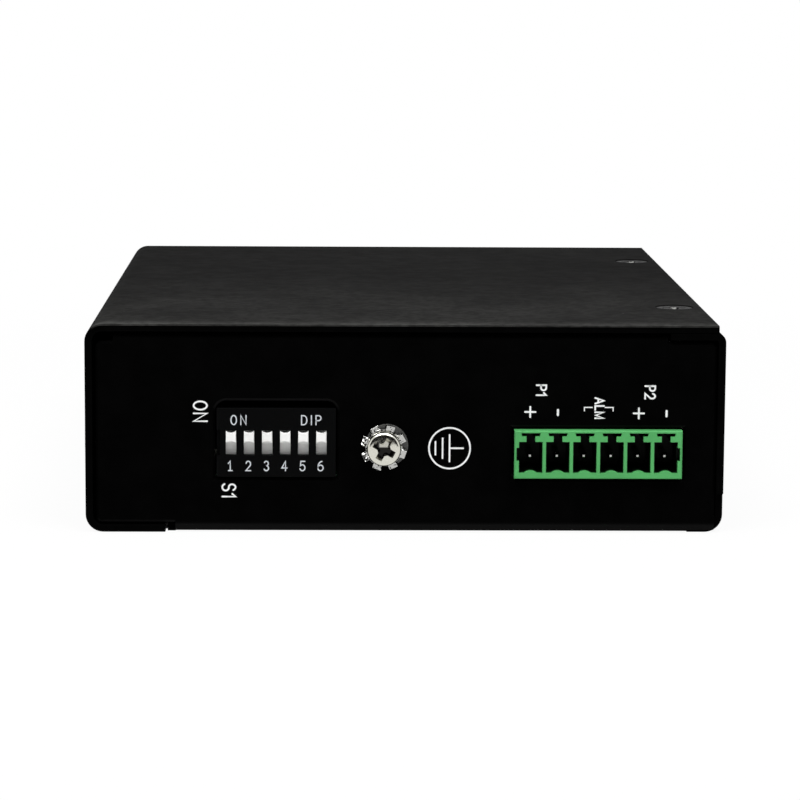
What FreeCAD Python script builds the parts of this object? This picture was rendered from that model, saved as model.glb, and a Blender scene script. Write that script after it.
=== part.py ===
import FreeCAD, Part
import math
import os

V = FreeCAD.Vector
LEFT, REAR, UP = V(-1, 0, 0), V(0, 1, 0), V(0, 0, 1)
FRONT, DOWN = V(0, -1, 0), V(0, 0, -1)

# Housing in millimetres: X from the port wall to the rail wall, Y from end to end, Z up.
# The origin is the middle of the underside.
width = 90.0
depth = 114.0
height = 29.5
sheet = 1.0
bend = 2.5
edge_break = 0.2
cut_over = 1.0

# Cover: top plate, port wall and lower lip
cover_step = 1.0
cover_lip = 11.2

# Base: floor, end walls, rail wall and upper flange
floor_inset = 12.6
lip_seam = 0.3
flange_width = 7.8
flange_bend = 1.4
end_bend = 1.5
end_recess = 0.3
end_gap_port = 0.5
end_gap_rail = 0.2
end_gap_top = 0.4
end_gap_lip = 0.35
end_flange_reach = 6.0
end_flange_inset = 2.5
end_flange_gap = 0.1
panel_corner = 1.0
panel_break = 0.35
foot_corner = 0.7
relief_height = 5.6
relief_back = 0.7
tab_width = 16.0
tab_reach = 8.6
tab_gap = 0.4
tab_root = 3.0
tab_bend = 1.5
window_break = 0.35

# Cover screws, M3 countersunk, and the cross recess that all screws have
screw_r = 1.45
thread_ease = 0.05
countersink_r = 2.85
screw_sink = 0.15
screw_length = 5.0
screw_end_inset = 23.4
upper_screw_inset = 4.9
lower_screw_inset = 6.6
recess_span = 3.48
recess_wing = 1.0
recess_core = 1.9
recess_taper = 0.6
recess_depth = 1.1

# Circuit board
board_top = 7.9
board_thickness = 1.6
board_gap = 1.2
standoff_flat = 6.0
standoff_post_flat = 4.8
board_screw_flat = 5.0
board_screw_head_h = 1.9
board_screw_length = 5.5
standoff_port_inset = 18.5
standoff_middle_inset = 35.0
standoff_rail_inset = 7.5
standoff_front_inset = 15.2
standoff_rear_inset = 7.2
nut_clearance = 0.5

# Network sockets in the port wall, as many as it has room for
port_spacing = 1.5
port_rear_inset = 13.1
jack_width = 15.9
jack_height = 13.4
jack_length = 15.6
jack_proud = 0.3
jack_foil = 0.3
port_gap = 0.25
insert_ease = 0.05
plug_width = 11.9
plug_height = 6.9
plug_floor = 4.0
plug_depth = 12.0
latch_width = 6.2
latch_drop = 1.5
catch_width = 4.0
catch_drop = 0.9
lens_width = 2.8
lens_height = 1.7
lens_y = 5.6
lens_top_gap = 0.5
lens_depth = 3.0
contact_count = 8
contact_pitch = 1.02
contact_width = 0.45
contact_thickness = 0.3
contact_dip = 2.1
contact_nose = 2.2
contact_reach = 8.9

# Status lamps in the port wall
lamp_count = 3
lamp_pitch = 5.0
lamp_front_inset = 8.6
lamp_clearance = 1.0
lamp_side = 2.6
lamp_ease = 0.1
lamp_axis_z = 4.2
lamp_proud = 0.6
lamp_length = 7.0
holder_width = 4.2
holder_height = 6.2
holder_length = 5.0

# Option switch with six sliders, 2.54 mm pitch
dip_inset = 26.83
dip_count = 6
dip_pitch = 2.54
dip_width = 16.76
dip_height = 9.75
dip_depth = 6.4
dip_proud = 0.2
dip_face = 0.9
dip_back = 1.2
dip_side_notch = 0.5
dip_notch_over = 0.1
dip_gap_side = 0.22
dip_gap_bottom = 0.25
dip_gap_top = 1.05
dip_window_corner = 1.6
slot_width = 1.5
slot_height = 3.5
slot_base = 3.1
knob_height = 1.72
knob_proud = 0.35
knob_hollow = 0.28
slider_ease = 0.04
plate_width = 2.0
plate_thickness = 0.9
plate_overlap = 0.3
channel_end_gap = 0.15
lead_width = 0.5
lead_thickness = 0.25
lead_reach = 1.2
lead_height = 2.0

# Terminal header, 3.81 mm pitch
header_inset = 17.85
header_count = 6
header_pitch = 3.81
header_wall = 0.64
header_partition = 0.48
header_height = 6.85
header_depth = 9.2
header_proud = 1.2
header_web = 1.6
header_floor = 0.78
header_roof = 0.36
header_gap = 0.25
header_chamfer = 0.15
key_tab = 0.78
key_slot = 0.47
key_throat = 1.26
key_shoulder = 2.45
key_mouth = 2.75
rib_width = 1.8
rib_height = 0.33
notch_low = 2.5
notch_high = 4.4
notch_cut = 0.35
notch_depth = 2.2
pin_side = 0.8
pin_tip = 0.34
pin_taper = 0.8
pin_height = 2.97
pin_recess = 2.0
pin_leg = 1.4
pin_drop = 3.0
pin_hole_ease = 0.2

# Earth screw on the end wall, M3 with a toothed lock washer on a plain one that sits off its middle
earth_gap = 6.75
earth_z = 12.25
earth_head_r = 2.42
earth_head_h = 1.8
earth_crown_r = 1.85
earth_head_side = 1.05
earth_dome = 0.22
earth_head_facets = 3
earth_length = 7.0
earth_turn = 29.0
washer_bore_r = 1.55
plain_washer_r = 3.0
plain_washer_bore_r = 2.05
plain_washer_thickness = 0.5
plain_washer_across = 0.43
plain_washer_rise = 0.25
washer_rim = 0.18
washer_tooth_r = 3.2
washer_thickness = 0.45
washer_teeth = 8
washer_turn = 28.0
tooth_width = 1.35
tooth_twist = 26.0
tooth_clearance = 0.05
nut_flat = 5.5
nut_height = 2.0

# Threaded holes for a rail clip in the rail wall
clip_hole_r = 1.25
clip_span_y = 40.0
clip_span_z = 10.0
clip_z = 14.75
clip_nut_height = 1.4

# Components on the board: length along X, length along Y and height
transformer_size = (12.0, 15.0, 6.4)
network_chip_size = (14.0, 14.0, 1.6)
crystal_size = (5.0, 3.2, 1.2)
relay_size = (10.0, 20.0, 10.2)
fuse_size = (6.1, 2.7, 2.7)
diode_size = (6.0, 7.0, 2.3)
choke_size = (12.0, 12.0, 6.0)
supply_chip_size = (5.0, 4.0, 1.5)
capacitor_r = 5.0
capacitor_height = 16.0
component_chamfer = 0.3

# Their distances from each other, from the front end wall and from the rail wall
transformer_gap = 2.5
network_chip_gap = 8.0
crystal_gap = 3.0
relay_gap = 5.3
choke_gap = 6.0
fuse_gap = 4.0
diode_gap = 1.5
surge_front_inset = 15.7
capacitor_rail_inset = 10.0
capacitor_pitch = 14.0
supply_chip_gap = 7.0

# Derived positions
port_x = -width / 2
rail_x = width / 2
end_y = depth / 2 - end_recess
cover_edge_x = rail_x - cover_step
floor_x = port_x + floor_inset
flange_top = height - sheet
panel_left = port_x + sheet + end_gap_port
panel_right = rail_x - sheet - end_gap_rail
panel_top = flange_top - sheet - end_gap_top
panel_base = sheet + end_gap_lip
screw_hole_r = screw_r + thread_ease
screw_y = depth / 2 - screw_end_inset
upper_screws = [(rail_x - upper_screw_inset, side * screw_y) for side in (-1, 1)]
lower_screws = [(port_x + lower_screw_inset, 0.0)]
board_bottom = board_top - board_thickness
standoff_front_y = standoff_front_inset - end_y
standoff_rear_y = end_y - standoff_rear_inset
standoff_spots = [
    (port_x + standoff_port_inset, standoff_front_y),
    (rail_x - standoff_rail_inset, standoff_front_y),
    (rail_x - standoff_rail_inset, standoff_rear_y),
    (port_x + standoff_middle_inset, standoff_rear_y),
]
jack_front = port_x - jack_proud
lamp_spots = [lamp_front_inset - end_y + lamp_pitch * index for index in range(lamp_count)]
port_pitch = jack_width + port_spacing
port_last = end_y - port_rear_inset
port_lowest = lamp_spots[-1] + (holder_width + jack_width) / 2 + lamp_clearance
port_count = 1 + int((port_last - port_lowest) / port_pitch)
port_spots = [port_last - port_pitch * index for index in reversed(range(port_count))]
dip_x = port_x + dip_inset
dip_front = -end_y - dip_proud
dip_spots = [dip_x + dip_pitch * (index - (dip_count - 1) / 2) for index in range(dip_count)]
knob_travel = slot_height - knob_height - 2 * slider_ease
header_x = rail_x - header_inset
header_front = -end_y - header_proud
header_back = header_front + header_depth
header_width = header_pitch * header_count - header_partition + 2 * header_wall
header_spots = [header_x + header_pitch * (i - (header_count - 1) / 2) for i in range(header_count)]
earth_x = dip_x + dip_width / 2 + earth_gap
clip_spots = [(y * clip_span_y / 2, clip_z + z * clip_span_z / 2) for y in (-1, 1) for z in (-1, 1)]
line_x = jack_front + jack_length + transformer_gap + transformer_size[0] / 2
network_chip_x = line_x + (transformer_size[0] + network_chip_size[0]) / 2 + network_chip_gap
network_chip_y = (port_spots[0] + port_spots[-1]) / 2
crystal_y = network_chip_y + (network_chip_size[1] + crystal_size[1]) / 2 + crystal_gap
relay_x = header_x - header_width / 2 + relay_size[0] / 2
relay_y = header_back + pin_leg + relay_gap + relay_size[1] / 2
choke_y = relay_y + (relay_size[1] + choke_size[1]) / 2 + choke_gap
fuse_x = relay_x - (relay_size[0] + fuse_size[0]) / 2 - fuse_gap
surge_y = surge_front_inset - end_y
diode_x = fuse_x - (fuse_size[0] + diode_size[0]) / 2 - diode_gap
diode_spots = [(diode_x - step * (diode_size[0] + diode_gap), surge_y) for step in range(2)]
capacitor_x = rail_x - capacitor_rail_inset
capacitor_spots = [(capacitor_x, choke_y - capacitor_pitch), (capacitor_x, choke_y)]
supply_chip_y = choke_y + capacitor_r + supply_chip_gap + supply_chip_size[1] / 2


def block(x, y, z):
    """Box between the low and high limits given for each axis."""
    return Part.makeBox(x[1] - x[0], y[1] - y[0], z[1] - z[0], V(x[0], y[0], z[0]))


def unit(vector):
    """Copy of a vector with length one."""
    return V(vector).normalize()


def edges_where(shape, test):
    """Edges whose ends and middle all pass a test."""
    return [edge for edge in shape.Edges if all(test(p) for p in edge.discretize(3))]


def near(value, target):
    """True where two lengths agree."""
    return abs(value - target) < 1e-4


def aim(shape, place, direction):
    """Copy of a shape built along +Z, set at a place and turned to a direction."""
    turned = shape.copy()
    turned.Placement = FreeCAD.Placement(place, FreeCAD.Rotation(UP, direction)).multiply(shape.Placement)
    return turned


def rounded_path(points, radii):
    """Edges along an open path, with an arc of its own radius at each inner corner."""
    edges = []
    start = points[0]
    for before, corner, after, radius in zip(points, points[1:], points[2:], radii):
        back, ahead = unit(before - corner), unit(after - corner)
        half = back.getAngle(ahead) / 2
        first = corner + back * (radius / math.tan(half))
        last = corner + ahead * (radius / math.tan(half))
        middle = corner + unit(back + ahead) * (radius / math.sin(half) - radius)
        edges.append(Part.makeLine(start, first))
        edges.append(Part.Arc(first, middle, last).toShape())
        start = last
    edges.append(Part.makeLine(start, points[-1]))
    return edges


def folded(skin, normal, bends):
    """Face of a bent sheet: one skin is given as a path with its bends, and the sheet lies to its left."""
    runs = [unit(b - a) for a, b in zip(skin, skin[1:])]
    sides = [normal.cross(run) for run in runs]
    other = [skin[0] + sides[0] * sheet]
    skin_radii, other_radii = [], []
    for index, (corner, radius) in enumerate(zip(skin[1:-1], bends)):
        miter = sides[index] + sides[index + 1]
        other.append(corner + miter * (2 * sheet / miter.Length ** 2))
        inward = normal.dot(runs[index].cross(runs[index + 1])) > 0
        skin_radii.append(radius if inward else radius - sheet)
        other_radii.append(radius - sheet if inward else radius)
    other.append(skin[-1] + sides[-1] * sheet)
    edges = rounded_path(skin, skin_radii)
    edges.append(Part.makeLine(skin[-1], other[-1]))
    edges += rounded_path(other[::-1], other_radii[::-1])
    edges.append(Part.makeLine(other[0], skin[0]))
    return Part.Face(Part.Wire(edges))


def skin_depth(point, low, high, upper_bend):
    """Distance of a point below a rounded rectangle in the XZ plane."""
    centre_x, centre_z = (low[0] + high[0]) / 2, (low[1] + high[1]) / 2
    radius = upper_bend if point.z > centre_z else bend
    over_x = abs(point.x - centre_x) - (high[0] - low[0]) / 2 + radius
    over_z = abs(point.z - centre_z) - (high[1] - low[1]) / 2 + radius
    if over_x > 0 and over_z > 0:
        return radius - math.hypot(over_x, over_z)
    return radius - max(over_x, over_z)


def broken_ends(shell, low, high, upper_bend):
    """Bent sheet with the outer edges of its two ends broken, its outside given as a rounded rectangle."""

    def on_rim(point):
        return near(abs(point.y), depth / 2) and near(skin_depth(point, low, high, upper_bend), 0)

    return shell.makeChamfer(edge_break, edges_where(shell, on_rim))


def countersink(spot, surface, direction):
    """Cutter for a countersunk screw that enters a surface along a direction."""
    start = V(spot[0], spot[1], surface)
    cone = Part.makeCone(countersink_r, screw_hole_r, sheet, start, direction)
    return cone.fuse(Part.makeCylinder(screw_hole_r, 2 * sheet + cut_over, start, direction))


def tapered_bar(across, along, share, rise):
    """Bar standing on the origin whose top has a share of its foot's lengths along X and Y."""
    foot_x, foot_y = across / 2, along / 2
    top_x, top_y = foot_x * share, foot_y * share
    bar = Part.makeWedge(-foot_x, 0, -foot_y, -top_y, -top_x, foot_x, rise, foot_y, top_y, top_x)
    bar.rotate(V(0, 0, 0), V(1, 0, 0), 90)
    return bar


def cross_recess(top, turn=0):
    """Cutter for the cross recess in a screw head whose top is at a height above the origin."""
    core = tapered_bar(recess_core, recess_core, recess_taper, recess_depth)
    core.rotate(V(0, 0, 0), UP, 45)
    wings = [tapered_bar(recess_span, recess_wing, recess_taper, recess_depth),
             tapered_bar(recess_wing, recess_span, recess_taper, recess_depth)]
    cross = core.fuse(wings).removeSplitter()
    cross.rotate(V(0, 0, 0), UP, turn)
    return aim(cross, V(0, 0, top), DOWN)


def flat_screw():
    """Countersunk cover screw with the sheet's surface at the origin."""
    slope = (countersink_r - screw_hole_r) / sheet
    head_r = countersink_r - screw_sink * slope
    cone_h = (head_r - screw_r) / slope
    head = Part.makeCone(screw_r, head_r, cone_h, V(0, 0, -screw_sink - cone_h), UP)
    shank = Part.makeCylinder(screw_r, screw_length - cone_h, V(0, 0, -screw_sink - screw_length), UP)
    return head.fuse(shank).removeSplitter().cut(cross_recess(-screw_sink))


def make_flat_screws(spots, surface, direction):
    """Countersunk screws whose heads face a direction at a surface."""
    return Part.makeCompound([aim(flat_screw(), V(x, y, surface), direction) for x, y in spots])


def make_earth_screw():
    """Pan-head screw with the underside of its head at the origin."""
    run, rise = earth_head_r - earth_crown_r, earth_head_h - earth_dome - earth_head_side
    tip = V(0, 0, -earth_length)
    outline = [tip, V(screw_r, 0, -earth_length), V(screw_r, 0, 0), V(earth_head_r, 0, 0)]
    for step in range(earth_head_facets + 1):
        turn = math.pi / 2 * step / earth_head_facets
        outline.append(V(earth_crown_r + run * math.cos(turn), 0, earth_head_side + rise * math.sin(turn)))
    outline += [V(0, 0, earth_head_h), tip]
    body = Part.Face(Part.makePolygon(outline)).revolve(V(0, 0, 0), UP, 360)
    return body.cut(cross_recess(earth_head_h, earth_turn))


def board_screw():
    """Hexagon-head screw with the underside of its head at the origin."""
    head = hexagon(board_screw_flat, V(0, 0, 0), board_screw_head_h)
    return head.fuse(Part.makeCylinder(screw_r, board_screw_length, V(0, 0, 0), DOWN))


def hexagon(flat, place, tall):
    """Upright hexagonal prism with a width across flats."""
    reach = flat / math.sqrt(3)
    turns = [step * math.pi / 3 for step in range(7)]
    ring = [place + V(reach * math.cos(turn), reach * math.sin(turn), 0) for turn in turns]
    return Part.Face(Part.makePolygon(ring)).extrude(UP * tall)


def weld_nut(bore_r, tall):
    """Hexagonal weld nut standing on the origin."""
    return hexagon(nut_flat, V(0, 0, 0), tall).cut(Part.makeCylinder(bore_r, tall))


def port_outline(grow, x):
    """Socket mouth in local axes: main opening, latch slot and catch slot, as one prism along X."""
    half = plug_width / 2 + grow
    roof = plug_floor + plug_height + grow
    mouth = block(x, (-half, half), (plug_floor - grow, roof))
    for step_width, drop in ((latch_width, latch_drop), (catch_width, latch_drop + catch_drop)):
        reach = step_width / 2 + grow
        mouth = mouth.fuse(block(x, (-reach, reach), (plug_floor - drop - grow, roof)))
    return mouth.removeSplitter()


def lens_pocket(side, ease, x):
    """Lamp window beside the socket's roof."""
    y = side * lens_y
    top = jack_height - jack_foil - lens_top_gap
    across = (y - lens_width / 2 - ease, y + lens_width / 2 + ease)
    return block(x, across, (top - lens_height - ease, top + ease))


def make_cover():
    """Top plate, port wall and lower lip folded from one sheet."""
    y = -depth / 2
    skin = [V(cover_edge_x, y, height), V(port_x, y, height), V(port_x, y, 0), V(port_x + cover_lip, y, 0)]
    shell = folded(skin, FRONT, (bend, bend)).extrude(V(0, depth, 0))
    shell = broken_ends(shell, (port_x, 0), (rail_x + width, height), bend)
    cuts = [countersink(spot, height, DOWN) for spot in upper_screws]
    cuts += [countersink(spot, 0, UP) for spot in lower_screws]
    wall = (port_x - cut_over, port_x + sheet + cut_over)
    half = jack_width / 2 + port_gap
    for spot in port_spots:
        tall = (board_top - port_gap, board_top + jack_height + port_gap)
        cuts.append(block(wall, (spot - half, spot + half), tall))
    cuts += [lamp_bar(wall, spot, lamp_ease) for spot in lamp_spots]
    return shell.cut(cuts)


def lamp_bar(x, spot, ease):
    """Square bar at the place of a status lamp, grown by an ease."""
    half, axis_z = lamp_side / 2 + ease, board_top + lamp_axis_z
    return block(x, (spot - half, spot + half), (axis_z - half, axis_z + half))


def dip_window(x, y, z):
    """Cutter for the option switch's window, which has round upper corners."""
    hole = block(x, y, z)
    upper = edges_where(hole, lambda p: near(p.z, z[1]) and (near(p.x, x[0]) or near(p.x, x[1])))
    return hole.makeFillet(dip_window_corner, upper)


def end_wall():
    """Front end wall with rounded corners and broken edges, and the flange that is folded in from its top."""
    y = (-end_y, sheet - end_y)
    ends = (panel_left, panel_right)
    wall = block(ends, y, (panel_base, panel_top))
    corners = edges_where(wall, lambda p: near(p.z, panel_top) and any(near(p.x, x) for x in ends))
    wall = wall.makeFillet(panel_corner, corners)
    corner = edges_where(wall, lambda p: near(p.z, panel_base) and near(p.x, panel_left))
    wall = wall.makeFillet(foot_corner, corner)
    wall = wall.makeChamfer(panel_break, edges_where(wall, lambda p: near(p.y, -end_y)))
    x = panel_left + end_flange_inset
    top = flange_top - end_flange_gap
    skin = [V(x, end_flange_reach - end_y, top), V(x, -end_y, top), V(x, -end_y, panel_top - sheet)]
    reach = rail_x - flange_width - tab_gap - x
    return wall.fuse(folded(skin, V(1, 0, 0), [flange_bend]).extrude(V(reach, 0, 0)))


def end_tray():
    """Floor with an end wall folded up at each end, before its openings are cut."""
    x = floor_x
    upstand = end_bend + sheet
    skin = [V(x, -end_y, upstand), V(x, -end_y, 0), V(x, end_y, 0), V(x, end_y, upstand)]
    tray = folded(skin, V(1, 0, 0), (end_bend, end_bend)).extrude(V(panel_right - floor_x, 0, 0))
    room = block((floor_x, rail_x), (-depth / 2, depth / 2), (0, height))
    room = room.makeFillet(bend, edges_where(room, lambda p: near(p.x, rail_x) and near(p.z, 0)))
    front = end_wall()
    reach = end_y - sheet
    margin = block((port_x + cover_lip + lip_seam, floor_x), (-reach, reach), (0, sheet))
    for spot in lower_screws:
        clear = tab_width / 2 + lip_seam
        margin = margin.cut(block((port_x, floor_x), (spot[1] - clear, spot[1] + clear), (0, sheet)))
    tray = tray.common(room).fuse([front, front.mirror(V(0, 0, 0), REAR), margin])
    return tray.removeSplitter()


def rail_wall():
    """Rail wall with its bends to the floor and the upper flange, set back at its lower ends."""
    y = -depth / 2
    skin = [V(rail_x - 2 * bend, y, 0), V(rail_x, y, 0), V(rail_x, y, flange_top)]
    skin.append(V(rail_x - flange_width, y, flange_top))
    wall = folded(skin, FRONT, (bend, flange_bend)).extrude(V(0, depth, 0))
    wall = broken_ends(wall, (port_x - width, 0), (rail_x, flange_top), flange_bend)
    across = (skin[0].x - cut_over, rail_x + cut_over)
    for y in ((-depth, relief_back - end_y), (end_y - relief_back, depth)):
        wall = wall.cut(block(across, y, (-cut_over, relief_height)))
    return wall


def lip_tab(y):
    """Tab set up by one sheet, which the cover's lip is screwed to."""
    start = floor_x - tab_reach
    ramp = port_x + cover_lip + tab_gap
    path = [V(start, y, sheet), V(ramp, y, sheet), V(ramp + sheet, y, 0), V(floor_x + tab_root, y, 0)]
    return folded(path, FRONT, (tab_bend, tab_bend)).extrude(V(0, tab_width, 0))


def make_base():
    """Floor, end walls, rail wall and upper flange folded from one sheet."""
    base = end_tray().fuse([rail_wall()] + [lip_tab(spot[1] - tab_width / 2) for spot in lower_screws])
    base = base.removeSplitter()
    dip_half = dip_width / 2 + dip_gap_side
    header_half = header_width / 2 + header_gap
    dip_z = (board_top - dip_gap_bottom, board_top + dip_height + dip_gap_top)
    header_z = (board_top - header_gap, board_top + header_height + header_gap)
    through = (-end_y - cut_over, -end_y + sheet + cut_over)
    cuts = [dip_window((dip_x - dip_half, dip_x + dip_half), through, dip_z)]
    cuts.append(block((header_x - header_half, header_x + header_half), through, header_z))
    base = base.cut(cuts)
    mouth = edges_where(base, lambda p: near(p.y, -end_y) and inside_windows(p, dip_z, header_z))
    base = base.makeChamfer(window_break, mouth)
    earth = V(earth_x, -end_y - cut_over, earth_z)
    holes = [Part.makeCylinder(screw_hole_r, sheet + 2 * cut_over, earth, REAR)]
    holes += [countersink(spot, height, DOWN) for spot in upper_screws]
    holes += [countersink(spot, 0, UP) for spot in lower_screws]
    for y, z in clip_spots:
        start = V(rail_x + cut_over, y, z)
        holes.append(Part.makeCylinder(clip_hole_r, sheet + 2 * cut_over, start, LEFT))
    for spot in standoff_spots:
        holes.append(hexagon(standoff_flat, V(spot[0], spot[1], 0), sheet))
    return base.cut(holes)


def inside_windows(point, dip_z, header_z):
    """True on the rim of either window in the front end wall."""
    reach = 1e-3
    in_dip = abs(point.x - dip_x) < dip_width / 2 + dip_gap_side + reach
    in_dip = in_dip and dip_z[0] - reach < point.z < dip_z[1] + reach
    in_header = abs(point.x - header_x) < header_width / 2 + header_gap + reach
    return in_dip or (in_header and header_z[0] - reach < point.z < header_z[1] + reach)


def make_standoffs():
    """Clinched standoffs, hexagonal head flush in the floor."""
    pieces = []
    for x, y in standoff_spots:
        post = hexagon(standoff_post_flat, V(x, y, sheet), board_bottom - sheet)
        bore = Part.makeCylinder(screw_hole_r, board_bottom - sheet, V(x, y, sheet), UP)
        pieces.append(hexagon(standoff_flat, V(x, y, 0), sheet).fuse(post.cut(bore)))
    return Part.makeCompound(pieces)


def make_board():
    """Circuit board with holes for its screws and the header's pins."""
    reach_y = end_y - sheet - board_gap
    x = (port_x + sheet + board_gap, rail_x - sheet - clip_nut_height - nut_clearance)
    board = block(x, (-reach_y, reach_y), (board_bottom, board_top))
    holes = [Part.makeCylinder(screw_hole_r, board_thickness, V(x, y, board_bottom), UP)
             for x, y in standoff_spots]
    half = pin_side / 2 + pin_hole_ease
    pin_y = header_back + pin_leg - pin_side / 2
    for x in header_spots:
        holes.append(block((x - half, x + half), (pin_y - half, pin_y + half), (board_bottom, board_top)))
    return board.cut(holes)


def make_board_screws():
    """Screws that hold the board to the standoffs."""
    return Part.makeCompound([aim(board_screw(), V(x, y, board_top), UP) for x, y in standoff_spots])


def make_shield():
    """Socket shield in local axes: mouth at X = 0, open towards the board."""
    half = jack_width / 2
    shell = block((0, jack_length), (-half, half), (0, jack_height))
    inner_y = (jack_foil - half, half - jack_foil)
    shell = shell.cut(block((jack_foil, jack_length - jack_foil), inner_y, (0, jack_height - jack_foil)))
    front = (0, jack_foil)
    windows = [port_outline(2 * insert_ease, front)]
    windows += [lens_pocket(side, insert_ease, front) for side in (-1, 1)]
    return shell.cut(windows)


def make_insert():
    """Socket insert in local axes with the plug's cavity and two lamp pockets."""
    half = jack_width / 2 - jack_foil - insert_ease
    core = block((jack_foil, jack_length - jack_foil), (-half, half), (0, jack_height - jack_foil))
    cuts = [port_outline(0, (jack_foil, plug_depth))]
    cuts += [lens_pocket(side, 0, (jack_foil, lens_depth)) for side in (-1, 1)]
    return core.cut(cuts)


def make_contacts():
    """Row of contact springs that slant down into the socket from its roof."""
    roof = plug_floor + plug_height
    tip = roof - contact_dip
    run = (contact_reach - contact_nose) / contact_dip
    foot = contact_reach - (contact_dip - contact_thickness) * run
    path = [
        (contact_nose, roof), (contact_reach, tip), (contact_reach, tip + contact_thickness), (foot, roof),
    ]
    springs = []
    for index in range(contact_count):
        y = contact_pitch * (index - (contact_count - 1) / 2) - contact_width / 2
        ring = [V(x, y, z) for x, z in path]
        springs.append(Part.Face(Part.makePolygon(ring + ring[:1])).extrude(V(0, contact_width, 0)))
    return Part.makeCompound(springs)


def make_lens(side):
    """Lamp window filler at one side of a socket."""
    return lens_pocket(side, 0, (0, lens_depth))


def at_port(shape, spot):
    """Copy of a socket piece moved from its local axes to a place in the port wall."""
    moved = shape.copy()
    moved.translate(V(jack_front, spot, board_top))
    return moved


def make_lamp_lenses():
    """Square status lamps that look out of the port wall."""
    x = (port_x - lamp_proud, port_x - lamp_proud + lamp_length)
    return Part.makeCompound([lamp_bar(x, spot, 0) for spot in lamp_spots])


def make_lamp_holders():
    """Blocks that carry the status lamps on the board."""
    blocks = []
    front = port_x + lamp_length - lamp_proud
    for spot in lamp_spots:
        y = (spot - holder_width / 2, spot + holder_width / 2)
        blocks.append(block((front, front + holder_length), y, (board_top, board_top + holder_height)))
    return Part.makeCompound(blocks)


def make_dip_housing():
    """Switch housing with one channel and one slot for each slider."""
    half = dip_width / 2
    y = (dip_front, dip_front + dip_depth - dip_back)
    body = block((dip_x - half, dip_x + half), y, (board_top, board_top + dip_height))
    low = board_top + slot_base
    high = low + slot_height
    cuts = []
    for x in dip_spots:
        cuts.append(block((x - slot_width / 2, x + slot_width / 2), (y[0], y[1]), (low, high)))
        across = (x - plate_width / 2 - slider_ease, x + plate_width / 2 + slider_ease)
        tall = (low - plate_overlap - knob_travel - channel_end_gap,
                high + plate_overlap + knob_travel + channel_end_gap)
        cuts.append(block(across, (y[0] + dip_face, y[1]), tall))
    side = (dip_x - half, dip_x - half + dip_side_notch)
    cuts.append(block(side, (y[0], y[0] + dip_face), (low - dip_notch_over, high + dip_notch_over)))
    return body.cut(cuts)


def make_dip_base():
    """Plate that closes the back of the switch housing."""
    half = dip_width / 2
    y = (dip_front + dip_depth - dip_back, dip_front + dip_depth)
    return block((dip_x - half, dip_x + half), y, (board_top, board_top + dip_height))


def make_dip_leads():
    """Solder leads behind the switch, one for each slider."""
    leads = []
    back = dip_front + dip_depth
    for x in dip_spots:
        across = (x - lead_width / 2, x + lead_width / 2)
        top = board_top + lead_height
        upper = block(across, (back, back + lead_thickness), (board_top, top))
        foot = block(across, (back, back + lead_reach), (board_top, board_top + lead_thickness))
        leads.append(upper.fuse(foot).removeSplitter())
    return Part.makeCompound(leads)


def make_slider(x):
    """Slider at its upper stop: knob with hollowed ends on a plate behind the slot."""
    low = board_top + slot_base
    top = low + slot_height - slider_ease
    half = slot_width / 2 - slider_ease
    plate_front = dip_front + dip_face + slider_ease
    knob_front = dip_front - knob_proud
    knob = block((x - half, x + half), (knob_front, plate_front), (top - knob_height, top))
    radius = (half ** 2 + knob_hollow ** 2) / (2 * knob_hollow)
    for z in (top - knob_hollow + radius, top - knob_height + knob_hollow - radius):
        hollow = Part.makeCylinder(radius, plate_front - knob_front, V(x, knob_front, z), REAR)
        knob = knob.cut(hollow)
    tall = (low - plate_overlap, low + slot_height + plate_overlap + knob_travel)
    across = (x - plate_width / 2, x + plate_width / 2)
    plate = block(across, (plate_front, plate_front + plate_thickness), tall)
    return knob.fuse(plate).removeSplitter()


def chamber(x):
    """Cutter for one chamber of the header with its keyed slot."""
    y = (header_front, header_back - header_web)
    half = (header_pitch - header_partition) / 2
    floor = board_top + header_floor
    roof = board_top + header_height - header_roof
    ledge = roof - key_slot
    ring = [
        V(x - half, y[0], floor), V(x + half, y[0], floor), V(x + half, y[0], ledge - key_tab),
        V(x + key_throat / 2, y[0], ledge - key_tab), V(x + key_throat / 2, y[0], ledge),
        V(x + key_shoulder / 2, y[0], ledge), V(x + key_mouth / 2, y[0], roof),
        V(x - key_mouth / 2, y[0], roof), V(x - key_shoulder / 2, y[0], ledge),
        V(x - key_throat / 2, y[0], ledge), V(x - key_throat / 2, y[0], ledge - key_tab),
        V(x - half, y[0], ledge - key_tab),
    ]
    space = Part.Face(Part.makePolygon(ring + ring[:1])).extrude(V(0, y[1] - y[0], 0))
    rib_r = (rib_width ** 2 / 4 + rib_height ** 2) / (2 * rib_height)
    rib = Part.makeCylinder(rib_r, y[1] - y[0], V(x, y[0], floor + rib_height - rib_r), REAR)
    return space.cut(rib)


def make_header():
    """Header body: chambers with keyed roofs, latch notches and holes for the pins."""
    half = header_width / 2
    y = (header_front, header_back)
    x = (header_x - half, header_x + half)
    body = block(x, y, (board_top, board_top + header_height))
    rim = edges_where(body, lambda p: near(p.y, header_front))
    body = body.makeChamfer(header_chamfer, rim)
    cuts = [chamber(spot) for spot in header_spots]
    tall = (board_top + notch_low, board_top + notch_high)
    deep = (header_front, header_front + notch_depth)
    inner = half - header_wall
    cuts.append(block((header_x - inner - notch_cut, header_x - inner), deep, tall))
    cuts.append(block((header_x + inner, header_x + inner + notch_cut), deep, tall))
    for spot in header_spots:
        cuts.append(pin_bar(spot, header_back - header_web, header_back))
    return body.cut(cuts)


def pin_bar(x, start, stop):
    """Straight square length of a header pin along Y."""
    z = board_top + pin_height
    half = pin_side / 2
    return block((x - half, x + half), (start, stop), (z - half, z + half))


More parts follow.
